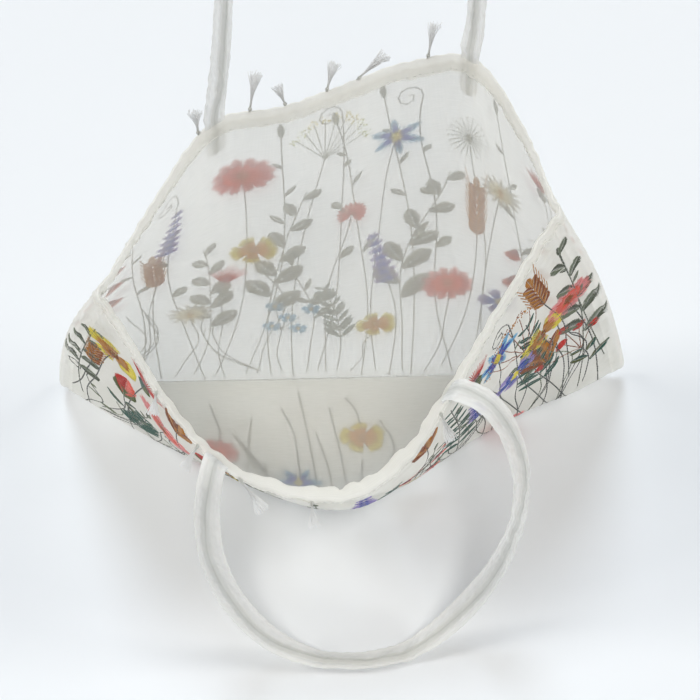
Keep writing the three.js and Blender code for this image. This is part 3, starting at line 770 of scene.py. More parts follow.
# A row for each plant: what it carries, where its stem starts and ends across the cloth, how high it grows,
# how far it bows, and its scale
BACK_PLANTS = [
    (fern, -0.190, -0.176, 0.140, 0.006, 1.1),
    (twig, -0.182, -0.186, 0.236, -0.004, 1.2),
    (bells, -0.158, -0.170, 0.205, -0.008, 1.2),
    (grass, -0.166, -0.138, 0.118, 0.016, 1.0),
    (wheat, -0.150, -0.134, 0.158, 0.007, 1.2),
    (twig, -0.146, -0.156, 0.252, 0.010, 1.2),
    (lavender, -0.132, -0.118, 0.208, -0.008, 1.2),
    (daisy, -0.122, -0.104, 0.096, 0.006, 1.0),
    (sprig, -0.108, -0.096, 0.168, 0.010, 1.3),
    (tendril, -0.100, -0.116, 0.250, -0.010, 1.2),
    (marigold, -0.092, -0.066, 0.232, 0.012, 1.2),
    (thistle, -0.086, -0.078, 0.124, -0.006, 1.3),
    (grass, -0.060, -0.096, 0.086, -0.018, 1.0),
    (twig, -0.070, -0.040, 0.262, 0.012, 1.3),
    (buttercup, -0.062, -0.050, 0.156, 0.008, 1.3),
    (sprig, -0.052, -0.024, 0.206, -0.012, 1.4),
    (forget_me_nots, -0.044, -0.038, 0.078, -0.006, 1.2),
    (umbel, -0.036, -0.010, 0.240, -0.010, 1.2),
    (twig, -0.026, -0.032, 0.134, 0.007, 1.4),
    (tendril, -0.018, -0.002, 0.268, 0.009, 1.1),
    (clover, -0.012, 0.004, 0.172, -0.007, 1.1),
    (fern, -0.004, -0.014, 0.108, 0.007, 1.0),
    (buttercup, 0.006, 0.020, 0.060, 0.004, 1.2),
    (twig, 0.014, -0.006, 0.258, 0.012, 1.3),
    (bluestar, 0.024, 0.040, 0.232, -0.010, 1.2),
    (lavender, 0.034, 0.028, 0.126, 0.007, 1.2),
    (sprig, 0.044, 0.066, 0.196, -0.011, 1.4),
    (twig, 0.050, 0.030, 0.266, 0.009, 1.2),
    (marigold, 0.060, 0.072, 0.096, 0.007, 1.1),
    (wheat, 0.072, 0.092, 0.164, 0.009, 1.2),
    (tendril, 0.080, 0.060, 0.262, -0.009, 1.1),
    (grass, 0.088, 0.130, 0.104, 0.020, 1.0),
    (clock, 0.094, 0.086, 0.228, 0.010, 1.2),
    (daisy, 0.104, 0.112, 0.196, -0.008, 1.0),
    (bells, 0.114, 0.132, 0.150, 0.007, 1.1),
    (violet, 0.124, 0.112, 0.084, -0.006, 1.2),
    (twig, 0.132, 0.106, 0.262, 0.010, 1.2),
    (thistle, 0.138, 0.146, 0.232, 0.008, 1.2),
    (umbel, 0.154, 0.166, 0.140, 0.006, 1.1),
    (twig, 0.164, 0.156, 0.254, -0.005, 1.2),
    (berries, 0.176, 0.180, 0.190, 0.004, 1.1),
    (fern, 0.190, 0.184, 0.120, -0.004, 1.0),
]
FRONT_PLANTS = [
    (wheat, -0.192, -0.184, 0.188, 0.004, 1.0),
    (tendril, -0.184, -0.176, 0.132, 0.006, 1.1),
    (buttercup, -0.178, -0.170, 0.228, -0.006, 1.7),
    (bud, -0.170, -0.156, 0.176, 0.007, 1.6),
    (fern, -0.162, -0.142, 0.156, 0.009, 1.2),
    (grass, -0.150, -0.118, 0.152, 0.016, 1.0),
    (grass, -0.172, -0.150, 0.140, 0.010, 1.0),
    (sprig, -0.184, -0.190, 0.240, -0.003, 1.1),
    (thistle, -0.146, -0.146, 0.250, -0.006, 1.6),
    (marigold, -0.136, -0.128, 0.212, 0.006, 1.3),
    (twig, -0.128, -0.142, 0.176, -0.009, 1.2),
    (autumn_leaves, -0.120, -0.110, 0.258, 0.006, 1.1),
    (bud, -0.106, -0.096, 0.226, 0.006, 1.2),
    (marigold, -0.096, -0.090, 0.070, 0.004, 1.0),
    (buttercup, -0.090, -0.078, 0.250, 0.006, 1.1),
    (grass, -0.078, -0.050, 0.150, 0.012, 1.0),
    (sprig, -0.066, -0.050, 0.210, -0.008, 1.3),
    (tendril, -0.056, -0.060, 0.258, 0.006, 1.0),
    (bluestar, -0.044, -0.034, 0.096, 0.006, 1.1),
    (twig, -0.032, -0.020, 0.240, 0.009, 1.2),
    (umbel, -0.020, -0.012, 0.150, 0.007, 1.1),
    (lavender, -0.010, 0.004, 0.232, 0.006, 1.1),
    (buttercup, 0.002, 0.012, 0.056, 0.004, 1.3),
    (fern, 0.012, 0.026, 0.224, -0.007, 1.1),
    (daisy, 0.026, 0.034, 0.116, 0.006, 1.0),
    (autumn_leaves, 0.038, 0.052, 0.252, 0.006, 1.1),
    (bells, 0.052, 0.062, 0.170, -0.007, 1.1),
    (grass, 0.060, 0.098, 0.206, 0.018, 1.0),
    (fern, 0.070, 0.080, 0.250, 0.007, 1.2),
    (twig, 0.078, 0.062, 0.200, -0.010, 1.2),
    (lavender, 0.086, 0.100, 0.178, 0.007, 1.2),
    (grass, 0.094, 0.070, 0.170, -0.014, 1.0),
    (thistle, 0.100, 0.108, 0.244, 0.008, 1.4),
    (marigold, 0.106, 0.112, 0.056, 0.004, 1.0),
    (twig, 0.112, 0.092, 0.222, -0.010, 1.2),
    (violet, 0.116, 0.126, 0.172, 0.007, 1.6),
    (yarrow, 0.126, 0.138, 0.214, 0.008, 1.3),
    (grass, 0.132, 0.156, 0.168, 0.010, 1.0),
    (bluestar, 0.128, 0.120, 0.236, -0.006, 1.3),
    (autumn_leaves, 0.140, 0.150, 0.150, 0.005, 1.5),
    (tendril, 0.148, 0.136, 0.256, -0.007, 1.2),
    (buttercup, 0.154, 0.158, 0.188, 0.006, 1.5),
    (wheat, 0.164, 0.166, 0.240, 0.005, 1.2),
    (fern, 0.160, 0.146, 0.226, -0.006, 1.4),
    (sprig, 0.168, 0.188, 0.262, 0.005, 1.3),
    (grass, 0.150, 0.176, 0.180, 0.009, 1.0),
    (berries, 0.172, 0.176, 0.118, 0.005, 1.5),
    (marigold, 0.182, 0.180, 0.196, 0.004, 1.1),
    (twig, 0.190, 0.188, 0.252, -0.003, 1.1),
]


def grow(hoop, plants, roots):
    for motif, foot, top, height, bow, scale in plants:
        start = complex(foot, min(hoop.chance.uniform(*roots), height * ROOT_SHARE))
        stem = bent(start, complex(top, height), bow, hoop.chance.normal(0, STEM_SWAY))
        way = (stem[-1] - stem[-4]) / abs(stem[-1] - stem[-4]) * scale
        if motif is not grass:
            hoop.line(stem, "stem" if motif in (twig, sprig, umbel, clock) else "ink")
        motif(hoop, stem[-1], way, stem)


# Sections of a stitch: their places along it, and shares of its width and rise
SECTIONS = np.array([0.0, 0.5, 1.0])
SECTION_WIDTH = np.array([0.5, 1.0, 0.5])
SECTION_RISE = np.array([0.2, 1.0, 0.2])
SECTION_SIDES = 4
SUNK_SIDE = 3  # the one that lies in the cloth


def sew(name, panel, hoop, kind, material, level=0.0, face=1):
    """One mesh of all the stitches of a kind, each a slim closed spindle half sunk in the cloth. The level
    is how far out of the cloth they lie, and the face is 1 outside and -1 inside."""
    starts, ends, widths, *colours = np.array(hoop.stitches[kind]).T
    count, sections = len(starts), len(SECTIONS)
    way = (ends - starts) / np.maximum(np.abs(ends - starts), 1e-9)
    middle = starts[:, None] + (ends - starts)[:, None] * SECTIONS
    side = 0.5j * way[:, None] * widths.real[:, None] * SECTION_WIDTH
    rise = hoop.chance.uniform(*STITCH_RISE, count)[:, None] * SECTION_RISE
    under = np.broadcast_to(-STITCH_UNDER * SECTION_RISE, rise.shape)
    shoulder = STITCH_SHOULDER * rise
    spots = np.stack([middle + side, middle, middle - side, middle], axis=2)
    heights = face * np.stack([shoulder, rise, shoulder, under], axis=2)
    heights += np.broadcast_to(level, count)[:, None, None]
    edge = panel.across[-1]
    points = panel.at(np.clip(spots.real, -edge, edge), np.clip(spots.imag, 0, FLAT_HEIGHT), heights)
    points[..., 2] = np.maximum(points[..., 2], TABLE_GAP / 4)
    tube = grid_faces(sections, SECTION_SIDES, True)
    last = (sections - 1) * SECTION_SIDES
    caps = [np.arange(SECTION_SIDES)[::-1], last + np.arange(SECTION_SIDES)]
    spindle = np.concatenate([tube[:, ::-1], caps])[:, ::face]
    faces = (spindle[None] + sections * SECTION_SIDES * np.arange(count)[:, None, None]).reshape(-1, 4)
    colour = np.stack(colours, axis=-1).real[:, None, None, :] * np.ones((1, sections, SECTION_SIDES, 1))
    sunk = colour[:, :, SUNK_SIDE]
    # Painted glow of light shining through: the inner side's colour is lifted towards full brightness
    sunk = sunk / sunk.max(axis=-1, keepdims=True) ** UNDER_PAINTED_GLOW[kind]
    colour[:, :, SUNK_SIDE] = sunk + (np.array(BOBBIN) - sunk) * UNDER_PALE[kind]
    paint = np.concatenate([colour, np.ones((count, sections, SECTION_SIDES, 1))], axis=-1)
    cut = np.stack(np.meshgrid(SECTIONS, np.arange(SECTION_SIDES) / SECTION_SIDES, indexing="ij"), axis=-1)
    cut = np.broadcast_to(cut, (count, *cut.shape)) * STITCH_CUT
    return add_piece(name, points, faces, material, cut, paint)


def silk_thread(name):
    """Coloured silk: bright along each stitch, with fine plies that catch the light, the colour darkened
    between them by painted shade.
    """
    finish = Finish(name)
    thread = finish.node("Attribute", {"attribute_name": "thread"})
    ply = finish.grain(scale=2600, stretch=(0.2, 1, 1), detail=2.0)
    # Painted shade: the plies' noise darkens the thread colour down to 0.74 between them
    shade = finish.node("ValToRGB", {"stops": [(0.3, (0.74, 0.74, 0.74)), (0.7, (1, 1, 1))]}, {0: ply})
    colour = finish.mix(1.0, thread, shade, "MULTIPLY")
    surface = {
        "Base Color": colour,
        "Roughness": 0.38 + ply * 0.25,
        "Normal": finish.bump(ply, strength=0.3, distance=0.0002),
        "Sheen Weight": 0.2,
        "Specular IOR Level": 0.4,
    }
    return finish.solid(surface)


silk_finish = silk_thread("embroidery_silk")
for side, cloth, panel, plants, roots, seed in (
    ("back", back_cloth, back, BACK_PLANTS, BACK_ROOTS, 5),
    ("front", front_cloth, front, FRONT_PLANTS, FRONT_ROOTS, 7),
):
    hoop = Hoop(seed)
    grow(hoop, plants, roots)
    sewn = [sew(f"{side}_{kind}", panel, hoop, kind, silk_finish) for kind in hoop.stitches]

# Lining
# One plain veil of fine white voile, folded at the bottom and sewn into the hem with the outer panels.
# It hangs a little inside them and softens the embroidery behind it.
LINING_INSET = 0.0025
LINING_ROWS = 100  # on each panel
LINING_SLACK = 0.0016  # how far it sags from the panels, on average
SLACK_FROM = 0.05  # it sags fully this far from the bottom and the hem edge
SLACK_WAVES = (0.03, 0.11)  # shortest and longest
SLACK_SLANT = 0.4
LINING_WHITE = (0.985, 0.977, 0.94)
LINING_SHADE = (0.965, 0.952, 0.905)

lining_up = np.linspace(LINING_INSET, FLAT_HEIGHT - PANEL_TOP, LINING_ROWS)
lining_across = back.across[:, None]
slack_low = smooth(0, SLACK_FROM, lining_up)
slack_high = smooth(FLAT_HEIGHT, FLAT_HEIGHT - SLACK_FROM, lining_up)


def lining_side(panel, seed):
    """The lining inside one panel."""
    waves = 1 + ripple(seed, lining_across + SLACK_SLANT * lining_up, *SLACK_WAVES)
    return panel.at(lining_across, lining_up, -LINING_INSET - LINING_SLACK * slack_low * slack_high * waves)


lining_front, lining_back = lining_side(front, seed=41), lining_side(back, seed=42)
lining_points = np.concatenate([lining_front[:, ::-1], lining_back], axis=1)
lining_run = np.concatenate([-lining_up[::-1], lining_up])
lining_cut = np.stack(np.meshgrid(back.across, lining_run, indexing="ij"), axis=-1)
voile_finish = organza("lining_voile", LINING_WHITE, LINING_SHADE, opacity=0.23, glow=0.22, pitch=0.0008)
lining_faces = grid_faces(*lining_points.shape[:2])
lining = add_piece("lining_veil", lining_points, lining_faces, voile_finish, lining_cut)
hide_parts("lining")

# Hem
# The upper edges of panels and lining are turned in and sewn down as one folded band, four layers thick,
# so it is denser and creamier than the panels; the row of stitching on each side puckers it a little.
HEM_DEPTH = 0.011
HEM_OUT = 0.0004  # outer leg in front of the panel
HEM_IN = 0.0032  # inner leg behind the lining
HEM_FOLD = 0.0014  # thickness at the fold
HEM_SPREAD = 0.005  # the legs have spread fully this far below the fold
HEM_ARC = 7
HEM_LEG = 9
HEM_PUCKER = 0.0006
PUCKER_FINE = (0.005, 0.016)  # shortest and longest waves
PUCKER_SLOW = (0.012, 0.05)
PUCKER_SLANT = 0.5
PUCKER_CORNERS = (0.10, 0.17)  # across the cloth, where the fine waves start to grow and are doubled
HEM_WANDER = 0.0007  # unevenness of the fold and of the sewn edges
WANDER_LONG = (0.02, 0.07)
WANDER_SHORT = (0.006, 0.03)
WANDER_SHARE = (0.8, 0.5)  # at the sewn edges and near the fold
HEM_PUFF = 0.005  # the inner leg swells in by this much at the middle of the front panel
PUFF_HALF = 0.085  # of the swelling's width across the cloth
PUFF_ROUND = 0.6  # below 1, the swelling is fuller than a half sine
PUFF_UNEVEN = 0.5
PUFF_WAVES = (0.007, 0.04)
PUFF_SLANT = 0.6
HEM_WHITE = (0.985, 0.975, 0.94)
HEM_SHADE = (0.95, 0.94, 0.90)
ROW_BELOW = 0.0092  # stitching below the hem edge
ROW_STITCH = 0.0024
ROW_GAP = 0.0012
ROW_THREAD = 0.0005

fold_half = HEM_FOLD / 2
arc = np.linspace(0, math.pi, HEM_ARC)
leg = np.linspace(HEM_DEPTH, fold_half, HEM_LEG, endpoint=False)
leg_in = HEM_FOLD - HEM_OUT + (HEM_IN - HEM_FOLD + HEM_OUT) * smooth(0, HEM_SPREAD, leg)
hem_below = np.concatenate([leg, fold_half * (1 - np.sin(arc)), leg[::-1]])
fold_in = fold_half * (1 - np.cos(arc)) - HEM_OUT
hem_inward = np.concatenate([np.full(HEM_LEG, -HEM_OUT), fold_in, leg_in[::-1]])
hem_inner = np.clip((hem_inward + HEM_OUT) / HEM_FOLD, 0, 1)  # 0 on the outer leg, 1 on the inner one
hem_round = hem_inner * np.sin(math.pi * np.clip(hem_below / HEM_DEPTH, 0, 1)) ** PUFF_ROUND


def hem_pucker(seed, across, below):
    """Waves of the band between its stitches, greatest at its sewn edge."""
    fine = ripple(seed, across, *PUCKER_FINE) * (1 + smooth(*PUCKER_CORNERS, np.abs(across)))
    slow = ripple(seed + 1, across + PUCKER_SLANT * below, *PUCKER_SLOW)
    return HEM_PUCKER * (fine * (below / HEM_DEPTH) ** 2 + slow * below / HEM_DEPTH)


def hem_side(panel, seed, puff):
    """Sections of the band along one panel."""
    across = panel.across[:, None]
    uneven = 1 + PUFF_UNEVEN * ripple(seed + 4, across + PUFF_SLANT * hem_below, *PUFF_WAVES)
    inward = hem_inward + puff * np.exp(-(across / PUFF_HALF) ** 2) * hem_round * uneven
    wander = HEM_WANDER * (ripple(seed + 2, across, *WANDER_LONG) + ripple(seed + 3, across, *WANDER_SHORT))
    up = FLAT_HEIGHT - hem_below - wander * np.where(hem_below > HEM_SPREAD, *WANDER_SHARE)
    return panel.at(across, up, -inward - hem_pucker(seed, across, hem_below))


HEM_SEEDS = {"back": 61, "front": 71}
hem_back = hem_side(back, HEM_SEEDS["back"], 0.0)
hem_front = hem_side(front, HEM_SEEDS["front"], HEM_PUFF)
hem_loop = np.concatenate([hem_back, hem_front[::-1][1:-1], hem_back[:1]])
hem_edge = back.across[-1]
hem_run = np.concatenate([back.across, 2 * hem_edge - back.across[::-1][1:-1], [3 * hem_edge]])
hem_line = np.concatenate([[0], np.cumsum(np.hypot(np.diff(hem_below), np.diff(hem_inward)))])
hem_cut = np.stack(np.meshgrid(hem_run, hem_line, indexing="ij"), axis=-1)
hem_finish = organza("hem_folded", HEM_WHITE, HEM_SHADE, opacity=0.64, glow=0.42, pitch=0.0007)
hem = add_piece("hem_fold", hem_loop, grid_faces(*hem_loop.shape[:2]), hem_finish, hem_cut)
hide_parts("hem_band")

for name, panel in (("back", back), ("front", front)):
    for place, level, face in (("outer", HEM_OUT, 1), ("inner", -HEM_IN, -1)):
        row = Hoop(HEM_SEEDS[name])
        starts = np.arange(panel.across[0], panel.across[-1] - ROW_STITCH, ROW_STITCH + ROW_GAP)
        for start in starts + 1j * (FLAT_HEIGHT - ROW_BELOW):
            row.stitch(start, start + ROW_STITCH, "white", ROW_THREAD)
        level = level - hem_pucker(HEM_SEEDS[name], starts + ROW_STITCH / 2, ROW_BELOW)
        label = f"hem_stitches_{name}_{place}"
        stitching = sew(label, panel, row, "flowers", silk_finish, level, face)

# Handles
# Two soft ribbons of organza folded lengthwise, 15 mm wide, with plump folded edges and a thinner middle.
# Their ends are let into the hem between panel and lining; the back one stands up, the front one has fallen.
HANDLE_ACROSS = 0.082  # from the middle of the panel to each end
HANDLE_WIDTH = 0.015
HANDLE_THICK = 0.0012
TAB_DEPTH = 0.028  # the hidden end reaches this far below the hem edge
TAB_RISE = 0.003  # and this far above it
TAB_INSET = 0.0013  # behind the panel
TAB_ROUND = 0.006  # length of the rounded end
TAB_END = 0.2  # of the width, left at the rounded end
TAB_THICK = 0.0008
EXIT_RISE = 0.00575  # start of the free run above the hem edge
HANDLE_STEPS = 420
TAB_STEPS = 18
RIBBON_POINTS = 21  # across one face
CREASE_DEEP = 0.0012
CREASE_HALF = 0.13  # this and the next four are in half widths of the ribbon
CREASE_MIDDLE = 0.15
CREASE_WANDER = 0.35
EDGE_MIDDLE = 0.78
EDGE_HALF = 0.14
EDGE_ROLL = 0.0004  # the folded edges are thicker than the middle by this much on each face
CUP = 0.0010  # how far the edges lift out of the flat
RUMPLE = 0.0007
RUMPLE_SHIFT = 0.012  # along the run, from middle to edge
RAGGED = 0.06  # of the width
RAGGED_SHIFT = 0.05  # along the run, from one edge to the other
CREASE_WAVES = (0.05, 0.2)  # shortest and longest
CUP_WAVES = (0.04, 0.12)
RUMPLE_WAVES = (0.006, 0.03)
RAGGED_WAVES = (0.003, 0.016)
CRUMPLE_FROM = 0.02  # length at each end in which the ribbon leaves the flat form of its tab
HANDLE_WHITE = (0.975, 0.975, 0.965)
HANDLE_SHADE = (0.92, 0.92, 0.90)
# Painted grey shade, tinted onto the strip along the crease and onto the crease line
HANDLE_PAINTED_SHADE = (0.60, 0.61, 0.58)
WEAVE_TURN = 9000  # radians of weave for each metre
RIM = (0.0040, 0.0060)  # from the middle, where the denser edge starts and is full
# The strip along the crease is denser and also carries painted grey shade
DENSE_SHADED_STRIP = (0.30, 0.48)  # half widths from the crease: full up to the first, gone by the second
# A thin line of painted shade on the crease itself
PAINTED_CREASE_SHADE = (0.03, 0.10)
# Free run of each handle from left to right: x, y, z, and the turn of its flat side in degrees
FRONT_HANDLE = np.array([
    (-0.075, -0.159, 0.178, 0),
    (-0.078, -0.168, 0.170, 0),
    (-0.081, -0.172, 0.149, 0),
    (-0.080, -0.177, 0.109, 0),
    (-0.070, -0.179, 0.063, -20),
    (-0.048, -0.182, 0.022, -65),
    (-0.017, -0.186, 0.003, -105),
    (0.010, -0.187, 0.0007, -110),
    (0.036, -0.181, 0.003, -105),
    (0.067, -0.171, 0.030, -70),
    (0.090, -0.165, 0.082, -25),
    (0.098, -0.160, 0.138, 0),
    (0.092, -0.154, 0.181, 0),
    (0.077, -0.145, 0.207, 0),
    (0.061, -0.136, 0.211, 0),
])
BACK_HANDLE = np.array([
    (-0.069, -0.003, 0.312, 3),
    (-0.063, -0.003, 0.360, 8),
    (-0.057, 0.001, 0.415, 20),
    (-0.046, 0.008, 0.471, 50),
    (-0.024, 0.017, 0.514, 80),
    (0.008, 0.027, 0.529, 90),
    (0.041, 0.037, 0.514, 80),
    (0.065, 0.046, 0.471, 55),
    (0.075, 0.050, 0.415, 28),
    (0.077, 0.052, 0.360, 12),
    (0.078, 0.051, 0.312, 6),
])


def turned(vector, axis, angle):
    """A vector turned about a unit axis."""
    across = np.cross(axis, vector)
    kept = axis * axis.dot(vector) * (1 - math.cos(angle))
    return vector * math.cos(angle) + across * math.sin(angle) + kept


def carried(face, old, new):
    """A face direction carried from one tangent to the next without twist."""
    axis = np.cross(old, new)
    size = np.linalg.norm(axis)
    if size < 1e-9:
        return face
    return turned(face, axis / size, math.atan2(size, old.dot(new)))


def ribbon_frames(points, turns, first_face, last_face):
    """Centres, tangents and faces along a smooth run through the points."""
    chord = np.linalg.norm(np.diff(points, axis=0), axis=1)
    place = np.concatenate([[0], np.cumsum(chord)])
    table = np.column_stack([place, points, np.radians(turns)])
    run = np.linspace(0, place[-1], HANDLE_STEPS)
    centres = np.stack([along(table, column, run) for column in (1, 2, 3)], axis=-1)
    tangents = np.gradient(centres, axis=0)
    tangents /= np.linalg.norm(tangents, axis=1, keepdims=True)
    face = first_face - tangents[0] * first_face.dot(tangents[0])
    faces = [face / np.linalg.norm(face)]
    for old, new in zip(tangents[:-1], tangents[1:]):
        faces.append(carried(faces[-1], old, new))
    rest = math.atan2(np.cross(faces[-1], last_face).dot(tangents[-1]), faces[-1].dot(last_face))
    angles = along(table, 4, run) + rest * smooth(0, place[-1], run)
    faces = [turned(face, tangent, angle) for face, tangent, angle in zip(faces, tangents, angles)]
    return centres, tangents, np.array(faces)


ribbon_side = np.sin(np.linspace(-math.pi / 2, math.pi / 2, RIBBON_POINTS))
ring_side = np.concatenate([ribbon_side, ribbon_side[-2:0:-1]])
ring_face = np.concatenate([np.ones(RIBBON_POINTS), -np.ones(RIBBON_POINTS - 2)])


def crease_place(seed, run):
    """Where the lengthwise crease lies across the ribbon, in half widths."""
    return CREASE_MIDDLE + CREASE_WANDER * ripple(seed, run, *CREASE_WAVES)


def ribbon_rings(centres, widths, faces, run, seed, crumple):
    """Sections of a folded ribbon: plump edges, a crease that wanders, rumples and an uneven outline."""
    plump = HANDLE_THICK / 2 * np.sqrt(np.clip(1 - ring_side ** 6, 0, 1))
    rolls = EDGE_ROLL * np.exp(-((np.abs(ring_side) - EDGE_MIDDLE) / EDGE_HALF) ** 2)
    crease = CREASE_DEEP * np.exp(-((ring_side - crease_place(seed, run)[:, None]) / CREASE_HALF) ** 2)
    cup = CUP * ring_side ** 2 * ripple(seed + 1, run, *CUP_WAVES)[:, None]
    rumples = RUMPLE * ripple(seed + 2, run[:, None] + RUMPLE_SHIFT * ring_side, *RUMPLE_WAVES)
    ragged = RAGGED * ripple(seed + 3, run[:, None] + RAGGED_SHIFT * (ring_side > 0), *RAGGED_WAVES)
    depth = ring_face * (plump + rolls * crumple[:, None]) - crumple[:, None] * (crease - cup - rumples)
    reach = 1 + crumple[:, None] * ragged
    side = widths[:, None] * (ring_side * reach)[..., None]
    return centres[:, None] + side + faces[:, None] * depth[..., None]


def add_layer(piece, name, values):
    """A number for each point of a piece, for its material."""
    layer = piece.data.attributes.new(name, "FLOAT", "POINT")
    layer.data.foreach_set("value", np.ascontiguousarray(values, dtype=np.float32).ravel())


def handle(name, panel, route, flip, seed):
    """A tab in the left hem, the free run, and a tab in the right hem. With flip 1 the width of the ribbon
    runs to the right at the left tab, and with -1 to the left."""
    feet = [(side * HANDLE_ACROSS, FLAT_HEIGHT) for side in (-1, 1)]
    exits = [panel.at(across, up + EXIT_RISE, -TAB_INSET) for across, up in feet]
    out = [panel.at(across, up, 1.0) - panel.at(across, up) for across, up in feet]
    points = np.vstack([exits[0], route[:, :3], exits[1]])
    turns = np.concatenate([[0], route[:, 3], [0]])
    centres, tangents, faces = ribbon_frames(points, turns, *out)
    widths = np.cross(faces, tangents) * HANDLE_WIDTH / 2
    run = np.linspace(0, np.linalg.norm(np.diff(centres, axis=0), axis=1).sum(), HANDLE_STEPS)
    crumple = smooth(0, CRUMPLE_FROM, run) * smooth(run[-1], run[-1] - CRUMPLE_FROM, run)
    rings = ribbon_rings(centres, widths, faces, run, seed, crumple)
    low = rings[..., 2].min(axis=1)
    rings[..., 2] += np.maximum(0, TABLE_GAP - low)[:, None]
    below = np.linspace(TAB_DEPTH, -TAB_RISE, TAB_STEPS)
    narrow = np.clip((below - TAB_DEPTH + TAB_ROUND) / TAB_ROUND, 0, 1)
    half = HANDLE_WIDTH / 2 * np.sqrt(1 - (1 - TAB_END ** 2) * narrow ** 2)
    depth = ring_face * TAB_THICK / 2 * (1 - ring_side ** 4) - TAB_INSET
    tabs = []
    for side, way in ((-1, flip), (1, -flip)):
        across = side * HANDLE_ACROSS + way * half[:, None] * ring_side
        tabs.append(panel.at(across, FLAT_HEIGHT - below[:, None], depth))
    grid = np.concatenate([tabs[0], rings, tabs[1][::-1]])
    step = np.linalg.norm(np.diff(grid.mean(axis=1), axis=0), axis=1)
    length = np.concatenate([[0], np.cumsum(step)])
    free = np.interp(length, length[TAB_STEPS] + run, run)
    aside = ring_side - crease_place(seed, free)[:, None] * np.interp(free, run, crumple)[:, None]
    cut = np.stack(np.broadcast_arrays(ring_side * HANDLE_WIDTH / 2, length[:, None]), axis=-1)
    piece = add_piece(name, grid, grid_faces(*grid.shape[:2], True), handle_finish, cut)
    add_layer(piece, "crease", aside)
    return piece, length[-1]


def ribbon_cloth(name):
    """Sheer white folded organza with denser edges, a denser strip along the crease tinted grey as painted
    shade, a painted shade line on the crease, and fine weave.
    """
    finish = Finish(name)
    side, run = finish.cut()
    rim = side.size().step(*RIM)
    aside = finish.node("Attribute", {"attribute_name": "crease"}, None, 2).size()
    strip = 1 - aside.step(*DENSE_SHADED_STRIP)
    crease = 1 - aside.step(*PAINTED_CREASE_SHADE)
    weave = (side * WEAVE_TURN).wave() * 0.5 + (run * WEAVE_TURN).wave() * 0.5
    slub = finish.grain(scale=150, stretch=(4, 1, 1))
    pale = finish.mix(slub.step(*MOTTLE), (*HANDLE_WHITE, 1), (*HANDLE_SHADE, 1))
    # Painted shade: the strip and the crease line are tinted towards the grey
    tint = finish.mix(strip * 0.6 + crease * 0.4, pale, (*HANDLE_PAINTED_SHADE, 1))
    surface = {
        "Base Color": tint,
        "Roughness": 0.45 + slub * 0.2,
        "Alpha": 0.36 + rim * 0.2 + strip * 0.5 + slub * 0.08,
        "Normal": finish.bump(weave * 0.3 + slub, strength=0.4, distance=0.0005),
        "Sheen Weight": 0.35,
        "Specular IOR Level": 0.35,
    }
    return finish.sheer(surface, glow=0.3, colour=(*HANDLE_WHITE, 1))


handle_finish = ribbon_cloth("handle_ribbon")
for name, panel, route, flip, seed, held in (
    ("back", back, BACK_HANDLE, 1, 81, "hung"),
    ("front", front, FRONT_HANDLE, -1, 91, "laid"),
):
    ribbon, length = handle(name + "_ribbon", panel, route, flip, seed)
    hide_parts("handle_" + name)

# Tassels
# Small brushes of white cotton thread: a knot on the hem edge, a short bound stem, and a tuft cut straight.
# They are sewn to the hem edge a few centimetres apart, and lean every way.
TASSEL_GAP = 0.0011  # foot of the stem from the hem edge
TASSEL_THREADS = 44
TASSEL_THREAD = 0.00022
TASSEL_STEM = 0.0005
TASSEL_TUFT = 0.0044
TASSEL_FLARE = (0.6, 1.15)  # threads spread from this share of the stem to this share of the whole
TASSEL_REACH = (0.9, 1.04)  # shortest and longest thread
TASSEL_TWIST = 2.4  # of the bound stem, in radians over the length
TASSEL_STRAY = 0.0006
TASSEL_DROOP = 0.10  # of the length, at the tips
TASSEL_KNOT = 0.0009
KNOT_TURNS = 3
KNOT_STEPS = 40
KNOT_END = 0.8  # of the knot's radius, at its first and last turn
TASSEL_SEEDS = {"back": 106, "front": 105}
TASSEL_WHITE = (0.98, 0.98, 0.98)
# Painted shade greys the bound stem of each tassel and fades to the white along the run
TASSEL_STEM_PAINTED_SHADE = (0.74, 0.74, 0.68)
STEM_SHADE_TO_WHITE = (0.0005, 0.004)  # along the run, where the stem's colour ends and the white is full
TUFT_THIN = (0.002, 0.014)  # along the run, where the threads start to thin and are finest
PLY_TURN = (9000, 15000)  # radians of twist for each metre along and round a thread
THREAD_SIDE = 0.0002  # of a thread's girth, for its twist
# Place across, stem and tuft lengths, and the way it leans
BACK_TASSELS = [
    (-0.094, 0.004, 0.010, (-1, 3, 10)),
    (-0.059, 0.007, 0.016, (2, 4, 10)),
    (-0.038, 0.003, 0.009, (-4, 6, 8)),
    (-0.011, 0.004, 0.013, (3, 5, 9)),
    (0.010, 0.006, 0.016, (8, 3, 7)),
    (0.055, 0.007, 0.014, (2, 4, 10)),
]
FRONT_TASSELS = [
    (-0.136, 0.004, 0.008, (-2, -8, -6)),
    (-0.097, 0.004, 0.010, (-6, -8, -5)),
    (-0.066, 0.010, 0.011, (8, -9, -5)),
    (-0.024, 0.004, 0.009, (1, -8, -7)),
    (0.070, 0.004, 0.011, (4, -8, -7)),
]
# Places along a thread, as shares of the whole length, from behind the foot
THREAD_STOPS = np.array([-0.10, 0.0, 0.12, 0.25, 0.4, 0.55, 0.7, 0.85, 1.0])
THREAD_SIDES = 5


def thread_tubes(lines, side, other, thick, spins):
    """Rings of thin tubes along runs of points, ready to be joined into one mesh."""
    turn = np.arange(THREAD_SIDES) * 2 * math.pi / THREAD_SIDES + np.asarray(spins)[:, None]
    ring = np.cos(turn)[..., None] * side + np.sin(turn)[..., None] * other
    return np.asarray(lines)[:, :, None] + ring[:, None] * thick


def tube_faces(count, stops):
    """Quads of a number of open tubes, one after the other."""
    first = stops * THREAD_SIDES * np.arange(count)
    return (grid_faces(stops, THREAD_SIDES, True)[None] + first[:, None, None]).reshape(-1, 4)


